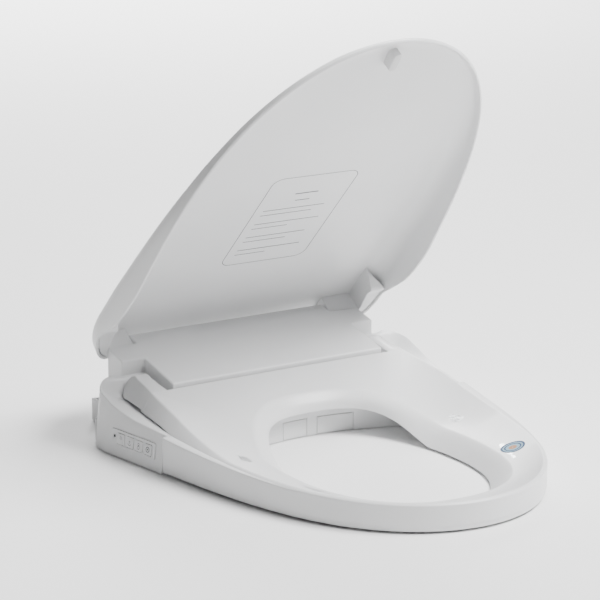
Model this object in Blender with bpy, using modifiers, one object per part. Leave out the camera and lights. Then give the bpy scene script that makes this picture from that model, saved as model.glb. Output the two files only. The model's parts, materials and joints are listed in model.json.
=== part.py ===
"""Electric bidet seat: a main unit with its spray, dryer and hinges, a heated seat and a lid.

Frame: origin at the centre of the mounting plate's underside, on the bolt line.  +Z is up, -Y runs
to the front of the seat and +X is the side away from the control buttons.  Units are metres.
"""
import math

import bmesh
import bpy
import numpy as np
from mathutils import Matrix, Vector

# ---- driving sizes -------------------------------------------------------------------------------
HALF_WIDTH = 0.190          # half the unit's width at its widest
SEAT_REACH = 0.442          # bolt line to the front of the seat
WIDEST_Y = -0.067           # where the plan is widest
PLAN_TAPER = 0.28           # how much the sides draw in towards the front
PLAN_NOSE = 4.8             # exponent of the nose curve

GAP = 0.0003                # between two pieces that touch
RUNNING_GAP = 0.0006        # round a pin that turns or a button that slides
SHELL = 0.003               # moulded wall
FLOOR_GAP = 0.002           # seat edge above the bowl

SEAM_Y = -0.153             # where the seat's skirt meets the unit's side wall
LOBE_REAR_Y = -0.027        # back of the unit's side lobes
HUMP_FRONT_Y = -0.083       # front lip of the top cover
EAR_FRONT_Y = -0.027        # the cover's full-width ears, front and back
EAR_REAR_Y = 0.004
HUMP_REAR_Y = 0.0285        # back of the cover
UNIT_REAR_Y = 0.039         # back of the main unit
FRONT_WALL_Y = -0.1255      # front wall of the unit at the middle
FRONT_WALL_SAG = 0.02826     # how far the wall's ends stand in front of its middle
HUMP_HALF = HALF_WIDTH - 0.066
FRONT_WALL_BOW = FRONT_WALL_SAG / (HUMP_HALF - 0.008) ** 2
EAR_HALF = HALF_WIDTH - 0.040
REAR_HUMP_HALF = HALF_WIDTH - 0.073
REAR_BODY_HALF = HALF_WIDTH - 0.042

HUMP_FRONT_Z = 0.065        # top of the cover at its front lip
HUMP_SLOPE = 0.235
LIP_DROP = 0.0035           # height of the front lip
COVER_FOOT_Z = 0.0443       # where the cover stands on the unit
DECK_Z = 0.026              # top of the unit's front deck, under the seat

ARM_SLOT = 0.007            # between the cover and each seat arm
SEAT_AXIS_Y = -0.045        # seat hinge
SEAT_AXIS_Z = 0.0555
ARM_RADIUS = 0.011          # rounded rear end of a seat arm
HOLE_HALF = 0.098           # the seat's opening
HOLE_REAR_Y = -0.149
HOLE_FRONT_RING = 0.047     # ring width in front of the opening

LID_AXIS_Y = 0.013          # lid hinge
LID_AXIS_Z = 0.079
LID_OPEN = math.radians(53.5)
LID_HALF = HALF_WIDTH - 0.020
LID_WIDEST_Y = -0.087
LID_OVERHANG = 0.004        # lid in front of the seat
LID_HEADROOM = 0.0194       # inner face above the hinge axis
LID_NOSE_Z = 0.02863        # height the inner face aims for at the tip
LID_FALL = (LID_AXIS_Z + LID_HEADROOM - LID_NOSE_Z) / (LID_AXIS_Y + SEAT_REACH + LID_OVERHANG)
LID_THICK = 0.003
LID_REAR_Y = 0.019
PIN_RADIUS = 0.0048

DOOR_X = -0.009             # nozzle door and dryer flap in the front wall
DOOR_WIDE = 0.028
FLAP_X = 0.0365
FLAP_WIDE = 0.039
DOOR_TOP_Z = 0.0185
DOOR_FOOT_Z = 0.0008
DOOR_THICK = 0.0018

BUTTON_PITCH = 0.0145
BUTTON_LONG = 0.0115
BUTTON_HIGH = 0.0105
PANEL_LONG = 0.070
PANEL_HIGH = 0.0165
PANEL_Y = -0.107
PANEL_Z = 0.0195

NOZZLE_RADIUS = 0.004
NOZZLE_LONG = 0.076
NOZZLE_SETBACK = 0.020      # tip behind the front wall when parked
NOZZLE_Z = 0.0075           # height at which it passes the front wall
NOZZLE_PITCH = math.radians(20.0)
WHEEL_X = NOZZLE_RADIUS + 0.0080    # pinion beside the nozzle's rack
WHEEL_Y = 0.058
FAN_RADIUS = 0.021
FAN_X = HUMP_HALF - 0.046
FAN_Y = 0.0

PLATE_HALF_X = 0.095        # mounting plate
PLATE_HALF_Y = 0.025
PLATE_THICK = 0.003
SLOT_X = 0.070

PARTS = "electric_bidet_seat"
TOOLS = "cutters"

COLOURS = {
    "white_gloss": ((0.86, 0.87, 0.87), 0.22, 0.0),
    "white_satin": ((0.80, 0.81, 0.82), 0.38, 0.0),
    "grey_plastic": ((0.45, 0.46, 0.48), 0.50, 0.0),
    "dark_plastic": ((0.06, 0.06, 0.07), 0.45, 0.0),
    "soft_pad": ((0.78, 0.78, 0.78), 0.75, 0.0),
    "circuit": ((0.04, 0.22, 0.12), 0.45, 0.0),
    "steel": ((0.72, 0.73, 0.75), 0.28, 1.0),
    "brass": ((0.78, 0.62, 0.30), 0.30, 1.0),
    "hose": ((0.70, 0.72, 0.74), 0.55, 0.0),
    "foil": ((0.85, 0.86, 0.88), 0.30, 1.0),
    "carbon": ((0.10, 0.10, 0.11), 0.85, 0.0),
    "lens": ((0.05, 0.06, 0.08), 0.12, 0.0),
}


# ---- scene, materials and basic solids -----------------------------------------------------------
def start_scene():
    """An empty scene with one collection for the parts and one for the cutters."""
    for obj in list(bpy.data.objects):
        bpy.data.objects.remove(obj, do_unlink=True)
    for name in (PARTS, TOOLS):
        bpy.context.scene.collection.children.link(bpy.data.collections.new(name))


def finish_of(slot):
    """The Principled material for one finish, made on first use."""
    if slot in bpy.data.materials:
        return bpy.data.materials[slot]
    colour, roughness, metallic = COLOURS[slot]
    made = bpy.data.materials.new(slot)
    made.use_nodes = True
    shader = made.node_tree.nodes["Principled BSDF"]
    shader.inputs["Base Color"].default_value = (*colour, 1.0)
    shader.inputs["Roughness"].default_value = roughness
    shader.inputs["Metallic"].default_value = metallic
    return made


def place(name, mesh, slot):
    """A new object; with a finish it is a part, without one it is a cutter."""
    obj = bpy.data.objects.new(name, mesh)
    bpy.data.collections[PARTS if slot else TOOLS].objects.link(obj)
    if slot:
        mesh.materials.append(finish_of(slot))
    else:
        obj.hide_render = True
        obj.display_type = "WIRE"
    return obj


def from_bmesh(name, bm, slot):
    bmesh.ops.recalc_face_normals(bm, faces=bm.faces)
    mesh = bpy.data.meshes.new(name)
    bm.to_mesh(mesh)
    bm.free()
    return place(name, mesh, slot)


def box(name, low, high, slot=None, turn=None):
    """A box between two corners, optionally carried by a matrix."""
    low, high = Vector(low), Vector(high)
    where = Matrix.Translation((low + high) / 2) @ Matrix.Diagonal((*(high - low), 1.0))
    bm = bmesh.new()
    bmesh.ops.create_cube(bm, size=1.0, matrix=(turn or Matrix()) @ where)
    return from_bmesh(name, bm, slot)


def rod(name, start, end, radius, slot=None, sides=20, end_radius=None):
    """A cylinder, or a cone, between two points."""
    start, end = Vector(start), Vector(end)
    along = end - start
    where = Matrix.Translation((start + end) / 2) @ along.to_track_quat("Z", "Y").to_matrix().to_4x4()
    bm = bmesh.new()
    bmesh.ops.create_cone(bm, cap_ends=True, segments=sides, radius1=radius,
                          radius2=radius if end_radius is None else end_radius,
                          depth=along.length, matrix=where)
    return from_bmesh(name, bm, slot)


def loft(name, sections, slot=None):
    """A closed solid through like sections, each a ring of points, with its two ends capped."""
    bm = bmesh.new()
    rings = [[bm.verts.new(p) for p in section] for section in sections]
    count = len(rings[0])
    for one, two in zip(rings, rings[1:]):
        for i in range(count):
            j = (i + 1) % count
            bm.faces.new((one[i], one[j], two[j], two[i]))
    bm.faces.new(rings[0])
    bm.faces.new(rings[-1])
    return from_bmesh(name, bm, slot)


def upright(name, outline, low, high, slot=None):
    """A plan outline carried from one height to another."""
    return loft(name, [[(x, y, z) for x, y in outline] for z in (low, high)], slot)


def across(name, profile, low, high, slot=None):
    """A side profile of (y, z) points carried from one x to another."""
    return loft(name, [[(x, y, z) for y, z in profile] for x in (low, high)], slot)


def boolean(obj, tool, operation="DIFFERENCE"):
    step = obj.modifiers.new(operation.lower(), "BOOLEAN")
    step.operation = operation
    step.object = tool
    step.solver = "EXACT"
    return obj


def round_edges(obj, width, segments=2, degrees=35):
    """Small rounds on an object's sharp edges."""
    step = obj.modifiers.new("rounds", "BEVEL")
    step.width = width
    step.segments = segments
    step.limit_method = "ANGLE"
    step.angle_limit = math.radians(degrees)
    return obj


def soften(obj, degrees=35):
    obj.data.shade_smooth()
    obj.data.set_sharp_from_angle(angle=math.radians(degrees))
    return obj


def sides():
    return (("left", -1.0), ("right", 1.0))


def pivot(name, where, names):
    """An empty on a joint's axis that carries the pieces which move about it."""
    hub = bpy.data.objects.new(name, None)
    hub.empty_display_size = 0.01
    hub.matrix_world = where if isinstance(where, Matrix) else Matrix.Translation(where)
    bpy.data.collections[PARTS].objects.link(hub)
    bpy.context.view_layer.update()
    for child in names:
        obj = bpy.data.objects[child]
        obj.parent = hub
        obj.matrix_parent_inverse = hub.matrix_world.inverted()


# ---- shared curves -------------------------------------------------------------------------------
def plan_half(y, inset=0.0):
    """Half the plan's width at y: a taper times a nose that closes like 1 - u to a power."""
    front = -SEAT_REACH + inset
    u = min(max((WIDEST_Y - y) / (WIDEST_Y - front), 0.0), 1.0)
    full = (HALF_WIDTH - inset) * (1.0 - PLAN_TAPER * u) * math.sqrt(max(1.0 - u ** PLAN_NOSE, 0.0))
    return full


def plan_stations(start, end, count):
    """Stations from the nose backwards, close together where the plan turns fastest."""
    angles = np.linspace(0.0, math.pi / 2, count)
    return [start + (end - start) * (1.0 - math.cos(a)) for a in angles]


def share(value, low, high):
    return min(max((value - low) / (high - low), 0.0), 1.0)


def smooth(t):
    return t * t * (3.0 - 2.0 * t)


def hump_top(y):
    return HUMP_FRONT_Z + HUMP_SLOPE * (y - HUMP_FRONT_Y)


def front_wall(x, inset=0.0):
    return FRONT_WALL_Y + inset - FRONT_WALL_BOW * x * x


# ---- the seat ------------------------------------------------------------------------------------
def skirt_top(y):
    """Height of the seat's upright skirt."""
    t = share(y, -SEAT_REACH, SEAM_Y)
    return 0.026 + 0.012 * t * t


def skirt_ledge(y):
    """Width of the ledge between the skirt and the flank above it."""
    return 0.0008 + 0.0095 * share(y, SEAM_Y - 0.184, SEAM_Y)


def arm_out(y):
    """Outer foot of a seat arm, beside the unit."""
    return HALF_WIDTH - 0.0255 - 0.135 * (y - SEAM_Y)


def rim_edge(y):
    """The crisp edge between the seat's flank and its top: (x, z)."""
    if y > SEAM_Y:
        return arm_out(y) - 0.013 + 0.057 * (y - SEAM_Y), 0.050 + 0.150 * (y - SEAM_Y)
    t = share(y, SEAM_Y - 0.094, SEAM_Y)
    out = plan_half(y) - skirt_ledge(y) - 0.003 - 0.0095 * t
    return max(out, 0.0004), skirt_top(y) + 0.0025 + 0.0095 * t ** 1.4


def seat_middle(y):
    """Height of the seat's surface at the edge of its opening, and of the shelf behind it."""
    rise = share(y, HOLE_REAR_Y - 0.10, HUMP_FRONT_Y)
    return 0.0185 + 0.043 * rise ** 1.7


def seat_section(y, inset=0.0, behind=False, foot=None):
    """Ring across the seat at y: keel, skirt, ledge, flank, then the dished top.

    Behind the seam the skirt is gone: the seat steps up over the unit's shoulders and deck.
    """
    skirt = (arm_out(y) if behind else plan_half(y)) - inset
    edge_x, edge_z = rim_edge(y if behind else min(y, SEAM_Y))
    ledge = skirt - 0.0002 if behind else skirt - skirt_ledge(y)
    side_foot = gutter(y) + 0.0028 if behind else FLOOR_GAP
    keel_foot = DECK_Z + 0.0025 if behind else FLOOR_GAP
    if foot is not None:
        side_foot = keel_foot = foot
    low = side_foot + 0.001 if behind and foot is None else min(skirt_top(y), edge_z - 0.002) - inset
    skirt, ledge = max(skirt, 0.0006), max(ledge, 0.0005)
    edge = max(min(edge_x - 0.4 * inset, ledge - 0.0001), 0.0004)
    keel = min(HUMP_HALF - 0.006, 0.5 * edge)
    if behind:
        keel = HUMP_HALF - 0.006 - inset
    sag = (edge_z - seat_middle(y)) * share(y, -SEAT_REACH, -SEAT_REACH + HOLE_FRONT_RING) ** 0.8
    top = edge_z - inset - sag
    half_ring = [(keel, keel_foot), (keel + 0.00005, side_foot), (skirt, side_foot), (skirt, low),
                 (ledge, low + 0.0004), (edge, edge_z - inset),
                 (max(edge - 0.022, edge * 0.6), top + 0.62 * sag), (max(edge - 0.055, edge * 0.3), top)]
    ring = [(x, y, z) for x, z in half_ring]
    return ring + [(-x, y, z) for x, _, z in reversed(ring)]


def opening_outline(grow=0.0, count=36):
    """The seat's opening in plan, a slightly squared ellipse."""
    rear, front = HOLE_REAR_Y + grow, -SEAT_REACH + HOLE_FRONT_RING - grow
    middle, reach = (rear + front) / 2, (rear - front) / 2
    points = []
    for i in range(count):
        a = 2.0 * math.pi * (i + 0.5) / count
        c, s = math.cos(a), math.sin(a)
        power = 2.0 / 2.25
        points.append(((HOLE_HALF + grow) * math.copysign(abs(c) ** power, c),
                       middle + reach * math.copysign(abs(s) ** power, s)))
    return points


def seat_solid(name, slot, inset=0.0, foot=None):
    """The seat's outer form from nose to cover, or the same form drawn in by a wall."""
    seam = SEAM_Y - GAP - inset
    front = [seat_section(y, inset, False, foot)
             for y in plan_stations(-SEAT_REACH + 0.0004 + inset, seam, 17)]
    rear = [seat_section(y, inset, True, foot)
            for y in np.linspace(seam + 0.00005, HUMP_FRONT_Y - 0.0015 - inset, 6)]
    return loft(name, front + rear, slot)


def arm_profile(inset=0.0):
    """Side view of a seat arm: a tapering bar with a round end about the hinge."""
    radius = ARM_RADIUS - inset
    front = HUMP_FRONT_Y - 0.03
    points = [(front, SEAT_AXIS_Z - radius + 0.0031), (front, rim_edge(front)[1] - inset - 0.0015)]
    for a in np.linspace(math.pi / 2, -math.pi / 2, 9):
        points.append((SEAT_AXIS_Y + radius * math.cos(a), SEAT_AXIS_Z + radius * math.sin(a)))
    return points


def seat_arm(name, side, inset=0.0):
    """One seat arm, tapered in plan along the flank."""
    inner = HUMP_HALF + ARM_SLOT + inset
    outer = [((rim_edge(y)[0] + arm_out(y)) / 2 - inset) for y, _ in arm_profile(inset)]
    near = [(side * inner, y, z) for y, z in arm_profile(inset)]
    far = [(side * x, y, z) for x, (y, z) in zip(outer, arm_profile(inset))]
    return loft(name, [near, far])


def make_seat():
    """Top shell, base plate, heating foil and bumpers of the seat."""
    shell = seat_solid("seat_top_shell", "white_gloss")
    inner = seat_solid("seat_hollow", None, inset=SHELL, foot=-0.01)
    boolean(inner, upright("opening_wall", opening_outline(SHELL), -0.02, 0.12))
    boolean(shell, inner)
    boolean(shell, upright("opening_cut", opening_outline(), -0.02, 0.12))
    room = HUMP_HALF - 0.006
    boolean(shell, box("deck_room", (-room, HOLE_REAR_Y - 0.022, -0.01),
                       (room, HUMP_FRONT_Y + 0.01, DECK_Z + 0.0022)))
    for label, side in sides():
        boolean(shell, seat_arm(f"arm_{label}", side), "UNION")
        bore = rod(f"arm_bore_{label}", (side * HUMP_HALF, SEAT_AXIS_Y, SEAT_AXIS_Z),
                   (side * (HUMP_HALF + ARM_SLOT + 0.010), SEAT_AXIS_Y, SEAT_AXIS_Z),
                   PIN_RADIUS + RUNNING_GAP)
        boolean(shell, bore)
    soften(shell)

    wall = SHELL + 2 * GAP
    plan = [plan_half(y, wall) for y in plan_stations(-SEAT_REACH + wall + 0.001, SEAM_Y - wall, 14)]
    stations = plan_stations(-SEAT_REACH + wall + 0.001, SEAM_Y - wall, 14)
    outline = list(zip(plan, stations)) + [(-x, y) for x, y in reversed(list(zip(plan, stations)))]
    plate = upright("seat_base_plate", outline, 0.0045, 0.0065, "white_satin")
    boolean(plate, upright("plate_opening", opening_outline(wall), -0.02, 0.12))
    boolean(plate, box("plate_deck_room", (-room - 0.003, HOLE_REAR_Y - 0.025, -0.01),
                       (room + 0.003, HUMP_FRONT_Y, 0.03)))

    for label, side in sides():
        for end, y in (("front", -SEAT_REACH + 0.075), ("rear", SEAM_Y - 0.040)):
            x = side * (plan_half(y) - 0.022)
            pad = rod(f"seat_bumper_{end}_{label}", (x, y, 0.0), (x, y, 0.0042), 0.007,
                      "soft_pad", 16, 0.0078)
            soften(pad)


def seat_top(x, y):
    """Height of the seat's top at a point, read from the section through it."""
    ring = [(p[0], p[2]) for p in seat_section(y)[5:8]]
    for (x1, z1), (x0, z0) in zip(ring, ring[1:]):
        if x >= x0:
            return z0 + (z1 - z0) * min((x - x0) / (x1 - x0), 1.0)
    return ring[-1][1]


def make_heater():
    """Heating foil: a horseshoe strip under the front and sides of the seat's top."""
    drop = SHELL + 0.0017
    bm = bmesh.new()
    rows = []
    middle = (HOLE_REAR_Y - SEAT_REACH + HOLE_FRONT_RING) / 2
    reach = (HOLE_REAR_Y + SEAT_REACH - HOLE_FRONT_RING) / 2
    for a in np.radians(np.linspace(-205.0, 25.0, 33)):
        inner = Vector(((HOLE_HALF + 0.012) * math.cos(a), middle + (reach + 0.012) * math.sin(a), 0))
        outer = Vector(((HOLE_HALF + 0.040) * math.cos(a), middle + (reach + 0.026) * math.sin(a), 0))
        row = [inner.lerp(outer, t) for t in (0.0, 0.5, 1.0)]
        rows.append([bm.verts.new((p.x, p.y, seat_top(abs(p.x), p.y) - drop)) for p in row])
    for one, two in zip(rows, rows[1:]):
        for i in range(2):
            bm.faces.new((one[i], one[i + 1], two[i + 1], two[i]))
    foil = from_bmesh("seat_heating_foil", bm, "foil")
    step = foil.modifiers.new("thickness", "SOLIDIFY")
    step.thickness = 0.0005
    step.offset = -1.0


# ---- the lid -------------------------------------------------------------------------------------
def lid_half(y):
    """Half the closed lid's width at y, by the same rule as the plan."""
    front = -SEAT_REACH - LID_OVERHANG
    u = share(-y, -LID_WIDEST_Y, -front)
    return LID_HALF * (1.0 - 0.10 * u) * math.sqrt(max(1.0 - u ** 3.5, 0.0))


def lid_lip(y):
    """Height of the closed lid's free edge: level along the seat, then up over the side lobes."""
    front = -SEAT_REACH - LID_OVERHANG
    rise = 0.013 * max((y - (WIDEST_Y - 0.060)) / 0.080, 0.0) ** 1.6
    return 0.031 + 0.0305 * (y - front) + rise + 0.006 * share(y, LID_WIDEST_Y + 0.022, LOBE_REAR_Y)


def lid_crown(y):
    """Height of the closed lid's inner face along the middle."""
    nose = share(-y, SEAT_REACH - 0.157, SEAT_REACH - 0.015)
    return LID_AXIS_Z + LID_HEADROOM - LID_FALL * (LID_AXIS_Y - y) + 0.009 * nose ** 2


def make_lid():
    """The lid as one dished shell with a deep rim, two hinge arms and its bumpers."""
    front = -SEAT_REACH - LID_OVERHANG
    stations = [y for y in plan_stations(front, LID_REAR_Y, 21)]
    tuck = 0.020
    rows = []
    spine_front = front + 0.085
    for y in stations:
        x = max(lid_half(y), 0.0)
        spine = max(y, spine_front + 0.10 * (y - front))
        lip = Vector((x, y, lid_lip(y)))
        centre = Vector((0.0, spine, 0.0))
        inward = (centre - Vector((x, y, 0.0)))
        span = inward.length
        inward.normalize()
        row = [lip]
        round_in = min(tuck, 0.3 * span)
        for a in np.linspace(0.0, math.pi / 2, 5):
            p = Vector((x, y, 0.0)) + inward * (round_in * (1.0 - math.cos(a)) + 0.001)
            top = lid_crown(p.y)
            round_up = min(0.016, 0.75 * (top - lip.z))
            row.append(Vector((p.x, p.y, top - round_up * (1.0 - math.sin(a)))))
        last = row[-1]
        for t in (0.33, 0.66, 1.0):
            p = last.lerp(Vector((0.0, spine, 0.0)), t)
            row.append(Vector((p.x if t < 1.0 else 0.0, p.y, lid_crown(p.y))))
        rows.append(row)
    bm = bmesh.new()
    grid = [[bm.verts.new(p) for p in row] for row in rows]
    for one, two in zip(grid, grid[1:]):
        for k in range(len(one) - 1):
            bm.faces.new((one[k], two[k], two[k + 1], one[k + 1]))
    bmesh.ops.remove_doubles(bm, verts=bm.verts, dist=0.00001)
    bmesh.ops.recalc_face_normals(bm, faces=bm.faces)
    if sum(f.normal.z for f in bm.faces) < 0:
        bmesh.ops.reverse_faces(bm, faces=bm.faces)
    axis = Matrix.Translation((0.0, -LID_AXIS_Y, -LID_AXIS_Z))
    bm.transform(axis)
    mesh = bpy.data.meshes.new("lid_shell")
    bm.to_mesh(mesh)
    bm.free()
    lid = place("lid_shell", mesh, "white_gloss")
    mirror = lid.modifiers.new("both_sides", "MIRROR")
    mirror.use_clip = True
    mirror.merge_threshold = 0.00002
    wall = lid.modifiers.new("wall", "SOLIDIFY")
    wall.thickness = LID_THICK
    wall.offset = 1.0
    wall.use_even_offset = False
    return lid


def lid_arm_profile():
    """Side view of a hinge arm about the hinge line: a knuckle hung from the lid's rear edge."""
    knuckle = 0.0078
    top = 0.0205
    points = [(-knuckle, top - LID_FALL * knuckle), (-knuckle, 0.0)]
    for a in np.linspace(math.pi, 2.0 * math.pi, 9)[1:-1]:
        points.append((knuckle * math.cos(a), knuckle * math.sin(a)))
    points += [(knuckle, 0.0), (knuckle - 0.002, top)]
    return points


def hang_lid():
    """Joins the arms to the lid, then turns it all about the hinge to its resting angle."""
    lid = make_lid()
    turn = Matrix.Translation((0, LID_AXIS_Y, LID_AXIS_Z)) @ Matrix.Rotation(-LID_OPEN, 4, "X")
    arm_in = REAR_HUMP_HALF + 0.0016
    hung = [lid]
    for label, side in sides():
        ends = sorted((side * arm_in, side * EAR_HALF))
        arm = across(f"lid_arm_{label}", lid_arm_profile(), *ends)
        boolean(lid, arm, "UNION")
        bore = rod(f"lid_bore_{label}", (side * (arm_in - 0.01), 0, 0),
                   (side * (arm_in + 0.014), 0, 0), PIN_RADIUS + RUNNING_GAP)
        boolean(lid, bore)
        corner = box(f"lid_corner_{label}",
                     tuple(min(a, b) for a, b in zip((side * (EAR_HALF + 0.001), -0.024, -0.05),
                                                     (side * 0.25, 0.05, 0.05))),
                     tuple(max(a, b) for a, b in zip((side * (EAR_HALF + 0.001), -0.024, -0.05),
                                                     (side * 0.25, 0.05, 0.05))))
        boolean(lid, corner)
        hung += [arm, bore, corner]
    front = -SEAT_REACH - LID_OVERHANG + 0.026
    foot = skirt_top(front) + 0.0048 - LID_AXIS_Z
    tip = rod("lid_bumper_front", (0, front - LID_AXIS_Y, foot),
              (0, front - LID_AXIS_Y, lid_crown(front) - LID_AXIS_Z - 0.0012), 0.0055, "soft_pad",
              18, 0.0075)
    hung.append(soften(tip))
    for obj in hung:
        obj.matrix_world = turn
    soften(lid)


# ---- the main unit's casings ---------------------------------------------------------------------
def lobe_edge(y):
    """Height of the side wall's top edge, sweeping up at the back."""
    return 0.0385 + 0.07 * (y - SEAM_Y) + 0.018 * share(y, SEAM_Y + 0.045, LOBE_REAR_Y) ** 1.7


def gutter(y):
    """Height of the unit's shoulder beside the seat arms."""
    return 0.0375 + 0.045 * (y - SEAM_Y)


def unit_section(y, foot, inset=0.0):
    """Ring across the unit: side wall leaning in, top edge, then a scooped shoulder."""
    wall = plan_half(y) - inset
    edge = wall - 0.006
    inner = EAR_HALF + 0.002
    if y > LOBE_REAR_Y - 0.022:
        back = share(y, LOBE_REAR_Y - 0.022, LOBE_REAR_Y)
        pull = 0.022 * (1.0 - math.sqrt(max(1.0 - back * back, 0.0)))
        wall, edge = wall - pull, edge - pull
    low, high = gutter(y) - inset, lobe_edge(y) - inset
    half = [(wall, foot), (edge, high)]
    for t in (0.75, 0.5, 0.25):
        half.append((inner + (edge - inner) * t, low + (high - low) * t * t))
    half.append((inner, low))
    ring = [(x, y, z) for x, z in half]
    return ring + [(-x, y, z) for x, _, z in reversed(ring)]


def arc_front(inset=0.0, reach=None, count=11):
    """Plan points of the bowed front wall, left to right."""
    reach = HUMP_HALF - 0.006 if reach is None else reach
    return [(x, front_wall(x, inset)) for x in np.linspace(-reach, reach, count)]


def make_base():
    """Base shell: side lobes, shoulders, front wall and rear body, open below."""
    stations = list(np.linspace(SEAM_Y, LOBE_REAR_Y - 0.022, 8)) + \
        [LOBE_REAR_Y - 0.022 + 0.022 * math.sin(a) for a in np.linspace(0.3, math.pi / 2, 5)]
    base = loft("base_shell", [unit_section(y, 0.0) for y in stations], "white_satin")
    rear = box("rear_body", (-REAR_BODY_HALF, LOBE_REAR_Y - 0.003, 0.0),
               (REAR_BODY_HALF, UNIT_REAR_Y - 0.004, COVER_FOOT_Z - GAP))
    boolean(base, rear, "UNION")
    inner = [y for y in stations if SEAM_Y + SHELL < y < LOBE_REAR_Y - SHELL - 0.001]
    inner = [SEAM_Y + SHELL] + inner + [LOBE_REAR_Y - SHELL]
    boolean(base, loft("lobe_hollow", [unit_section(y, -0.01, SHELL) for y in inner]))
    boolean(base, box("rear_hollow", (-REAR_BODY_HALF + SHELL, LOBE_REAR_Y - 0.01, -0.01),
                      (REAR_BODY_HALF - SHELL, UNIT_REAR_Y - 0.004 - SHELL, COVER_FOOT_Z - 0.0043)))
    boolean(base, box("rear_well", (-REAR_HUMP_HALF + 0.005, EAR_FRONT_Y - 0.01, -0.01),
                      (REAR_HUMP_HALF - 0.005, HUMP_REAR_Y - 0.005, 0.09)))
    well = HUMP_HALF - 0.010
    boolean(base, box("unit_well", (-well, HUMP_FRONT_Y + SHELL, -0.01), (well, EAR_FRONT_Y, 0.09)))
    notch = arc_front(inset=0.0015, reach=well) + [(well, -0.3), (-well, -0.3)]
    boolean(base, upright("front_notch", notch, -0.02, 0.12))
    boolean(base, box("deck_step", (-well - 0.008, -0.3, DECK_Z), (well + 0.008, HUMP_FRONT_Y, 0.12)))
    wall = arc_front(reach=well + 0.002) + list(reversed(arc_front(inset=SHELL, reach=well + 0.002)))
    front = upright("front_skin", wall, 0.0, DECK_Z - 0.001)
    boolean(base, front, "UNION")
    for name, x, wide in (("door_gap", DOOR_X, DOOR_WIDE), ("flap_gap", FLAP_X, FLAP_WIDE)):
        spot = front_frame(x)
        boolean(base, box(name, (-wide / 2 - RUNNING_GAP, -0.006, -0.01),
                          (wide / 2 + RUNNING_GAP, 0.012, DOOR_TOP_Z + RUNNING_GAP), turn=spot))
    boolean(base, box("nozzle_way", (DOOR_X - 0.0095, FRONT_WALL_Y + 0.024, DECK_Z - 0.006),
                      (DOOR_X + 0.0095, HUMP_FRONT_Y + 0.005, DECK_Z + 0.009)))
    panel = panel_frame()
    boolean(base, box("panel_gap", (-0.012, -PANEL_LONG / 2 - GAP, -PANEL_HIGH / 2 - GAP),
                      (0.01, PANEL_LONG / 2 + GAP, PANEL_HIGH / 2 + GAP), turn=panel))
    boolean(base, rod("inlet_gap", (REAR_BODY_HALF - 0.01, 0.012, 0.024),
                      (REAR_BODY_HALF + 0.01, 0.012, 0.024), 0.0085))
    boolean(base, rod("gland_gap", (REAR_BODY_HALF - 0.045, UNIT_REAR_Y - 0.012, 0.022),
                      (REAR_BODY_HALF - 0.045, UNIT_REAR_Y + 0.012, 0.022), 0.0063))
    soften(base)


def make_base_plate():
    """Bottom tray that carries the inner parts, with room for the mounting plate."""
    edge = SHELL + 0.0025
    stations = list(np.linspace(SEAM_Y + edge, LOBE_REAR_Y - 0.022, 6)) + [LOBE_REAR_Y - edge - 0.002]
    right = [(plan_half(y) - edge - (0.006 if y > LOBE_REAR_Y - 0.02 else 0.0), y) for y in stations]
    back = REAR_BODY_HALF - edge
    right += [(back, right[-1][1]), (back, UNIT_REAR_Y - 0.004 - edge)]
    reach = HUMP_HALF - 0.004
    front = [(x, max(y, SEAM_Y + edge)) for x, y in arc_front(inset=edge, reach=reach)]
    outline = front + right + [(-x, y) for x, y in reversed(right)]
    tray = upright("base_plate", outline, 0.0006, 0.0030, "grey_plastic")
    boolean(tray, box("plate_room", (-PLATE_HALF_X - 0.0006, -PLATE_HALF_Y - 0.0006, -0.01),
                      (PLATE_HALF_X + 0.0006, PLATE_HALF_Y + 0.0006, 0.02)))
    boolean(tray, box("outlet_room", (DOOR_X - DOOR_WIDE / 2 - 0.002, -0.2, -0.01),
                      (FLAP_X + FLAP_WIDE / 2 + 0.003, FRONT_WALL_Y + 0.036, 0.02)))
    plate = box("mounting_plate", (-PLATE_HALF_X, -PLATE_HALF_Y, 0.0),
                (PLATE_HALF_X, PLATE_HALF_Y, PLATE_THICK), "steel")
    for label, side in sides():
        slot = box(f"slot_{label}", (side * SLOT_X - 0.0045, -0.014, -0.01),
                   (side * SLOT_X + 0.0045, 0.014, 0.02))
        boolean(plate, slot)


def cover_profile(inset=0.0, foot=COVER_FOOT_Z):
    """Side view of the cover's hump, from the front lip over the top to the back."""
    front, back = HUMP_FRONT_Y + inset, HUMP_REAR_Y - inset
    crest = HUMP_REAR_Y - 0.0045
    start = gutter(front) + GAP if foot == COVER_FOOT_Z else foot
    return [(front, start), (front, hump_top(front) - inset - 0.001),
            (front + 0.001, hump_top(front) - inset), (crest, hump_top(crest) - inset),
            (back - 0.001, hump_top(crest) - 0.0025 - inset), (back, hump_top(crest) - 0.007 - inset),
            (back, foot), (EAR_FRONT_Y, foot)]


def cover_plan(inset=0.0):
    """Plan of the cover: a hump between the seat arms, full-width ears, a hump between lid arms."""
    half = [(HUMP_HALF, HUMP_FRONT_Y - 0.01), (HUMP_HALF, EAR_FRONT_Y), (EAR_HALF, EAR_FRONT_Y),
            (EAR_HALF, EAR_REAR_Y), (REAR_HUMP_HALF, EAR_REAR_Y),
            (REAR_HUMP_HALF, HUMP_REAR_Y + 0.01)]
    push = [0, 1, 1, -1, -1, 0]
    half = [(x - inset, y + inset * p) for (x, y), p in zip(half, push)]
    return half + [(-x, y) for x, y in reversed(half)]


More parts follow.
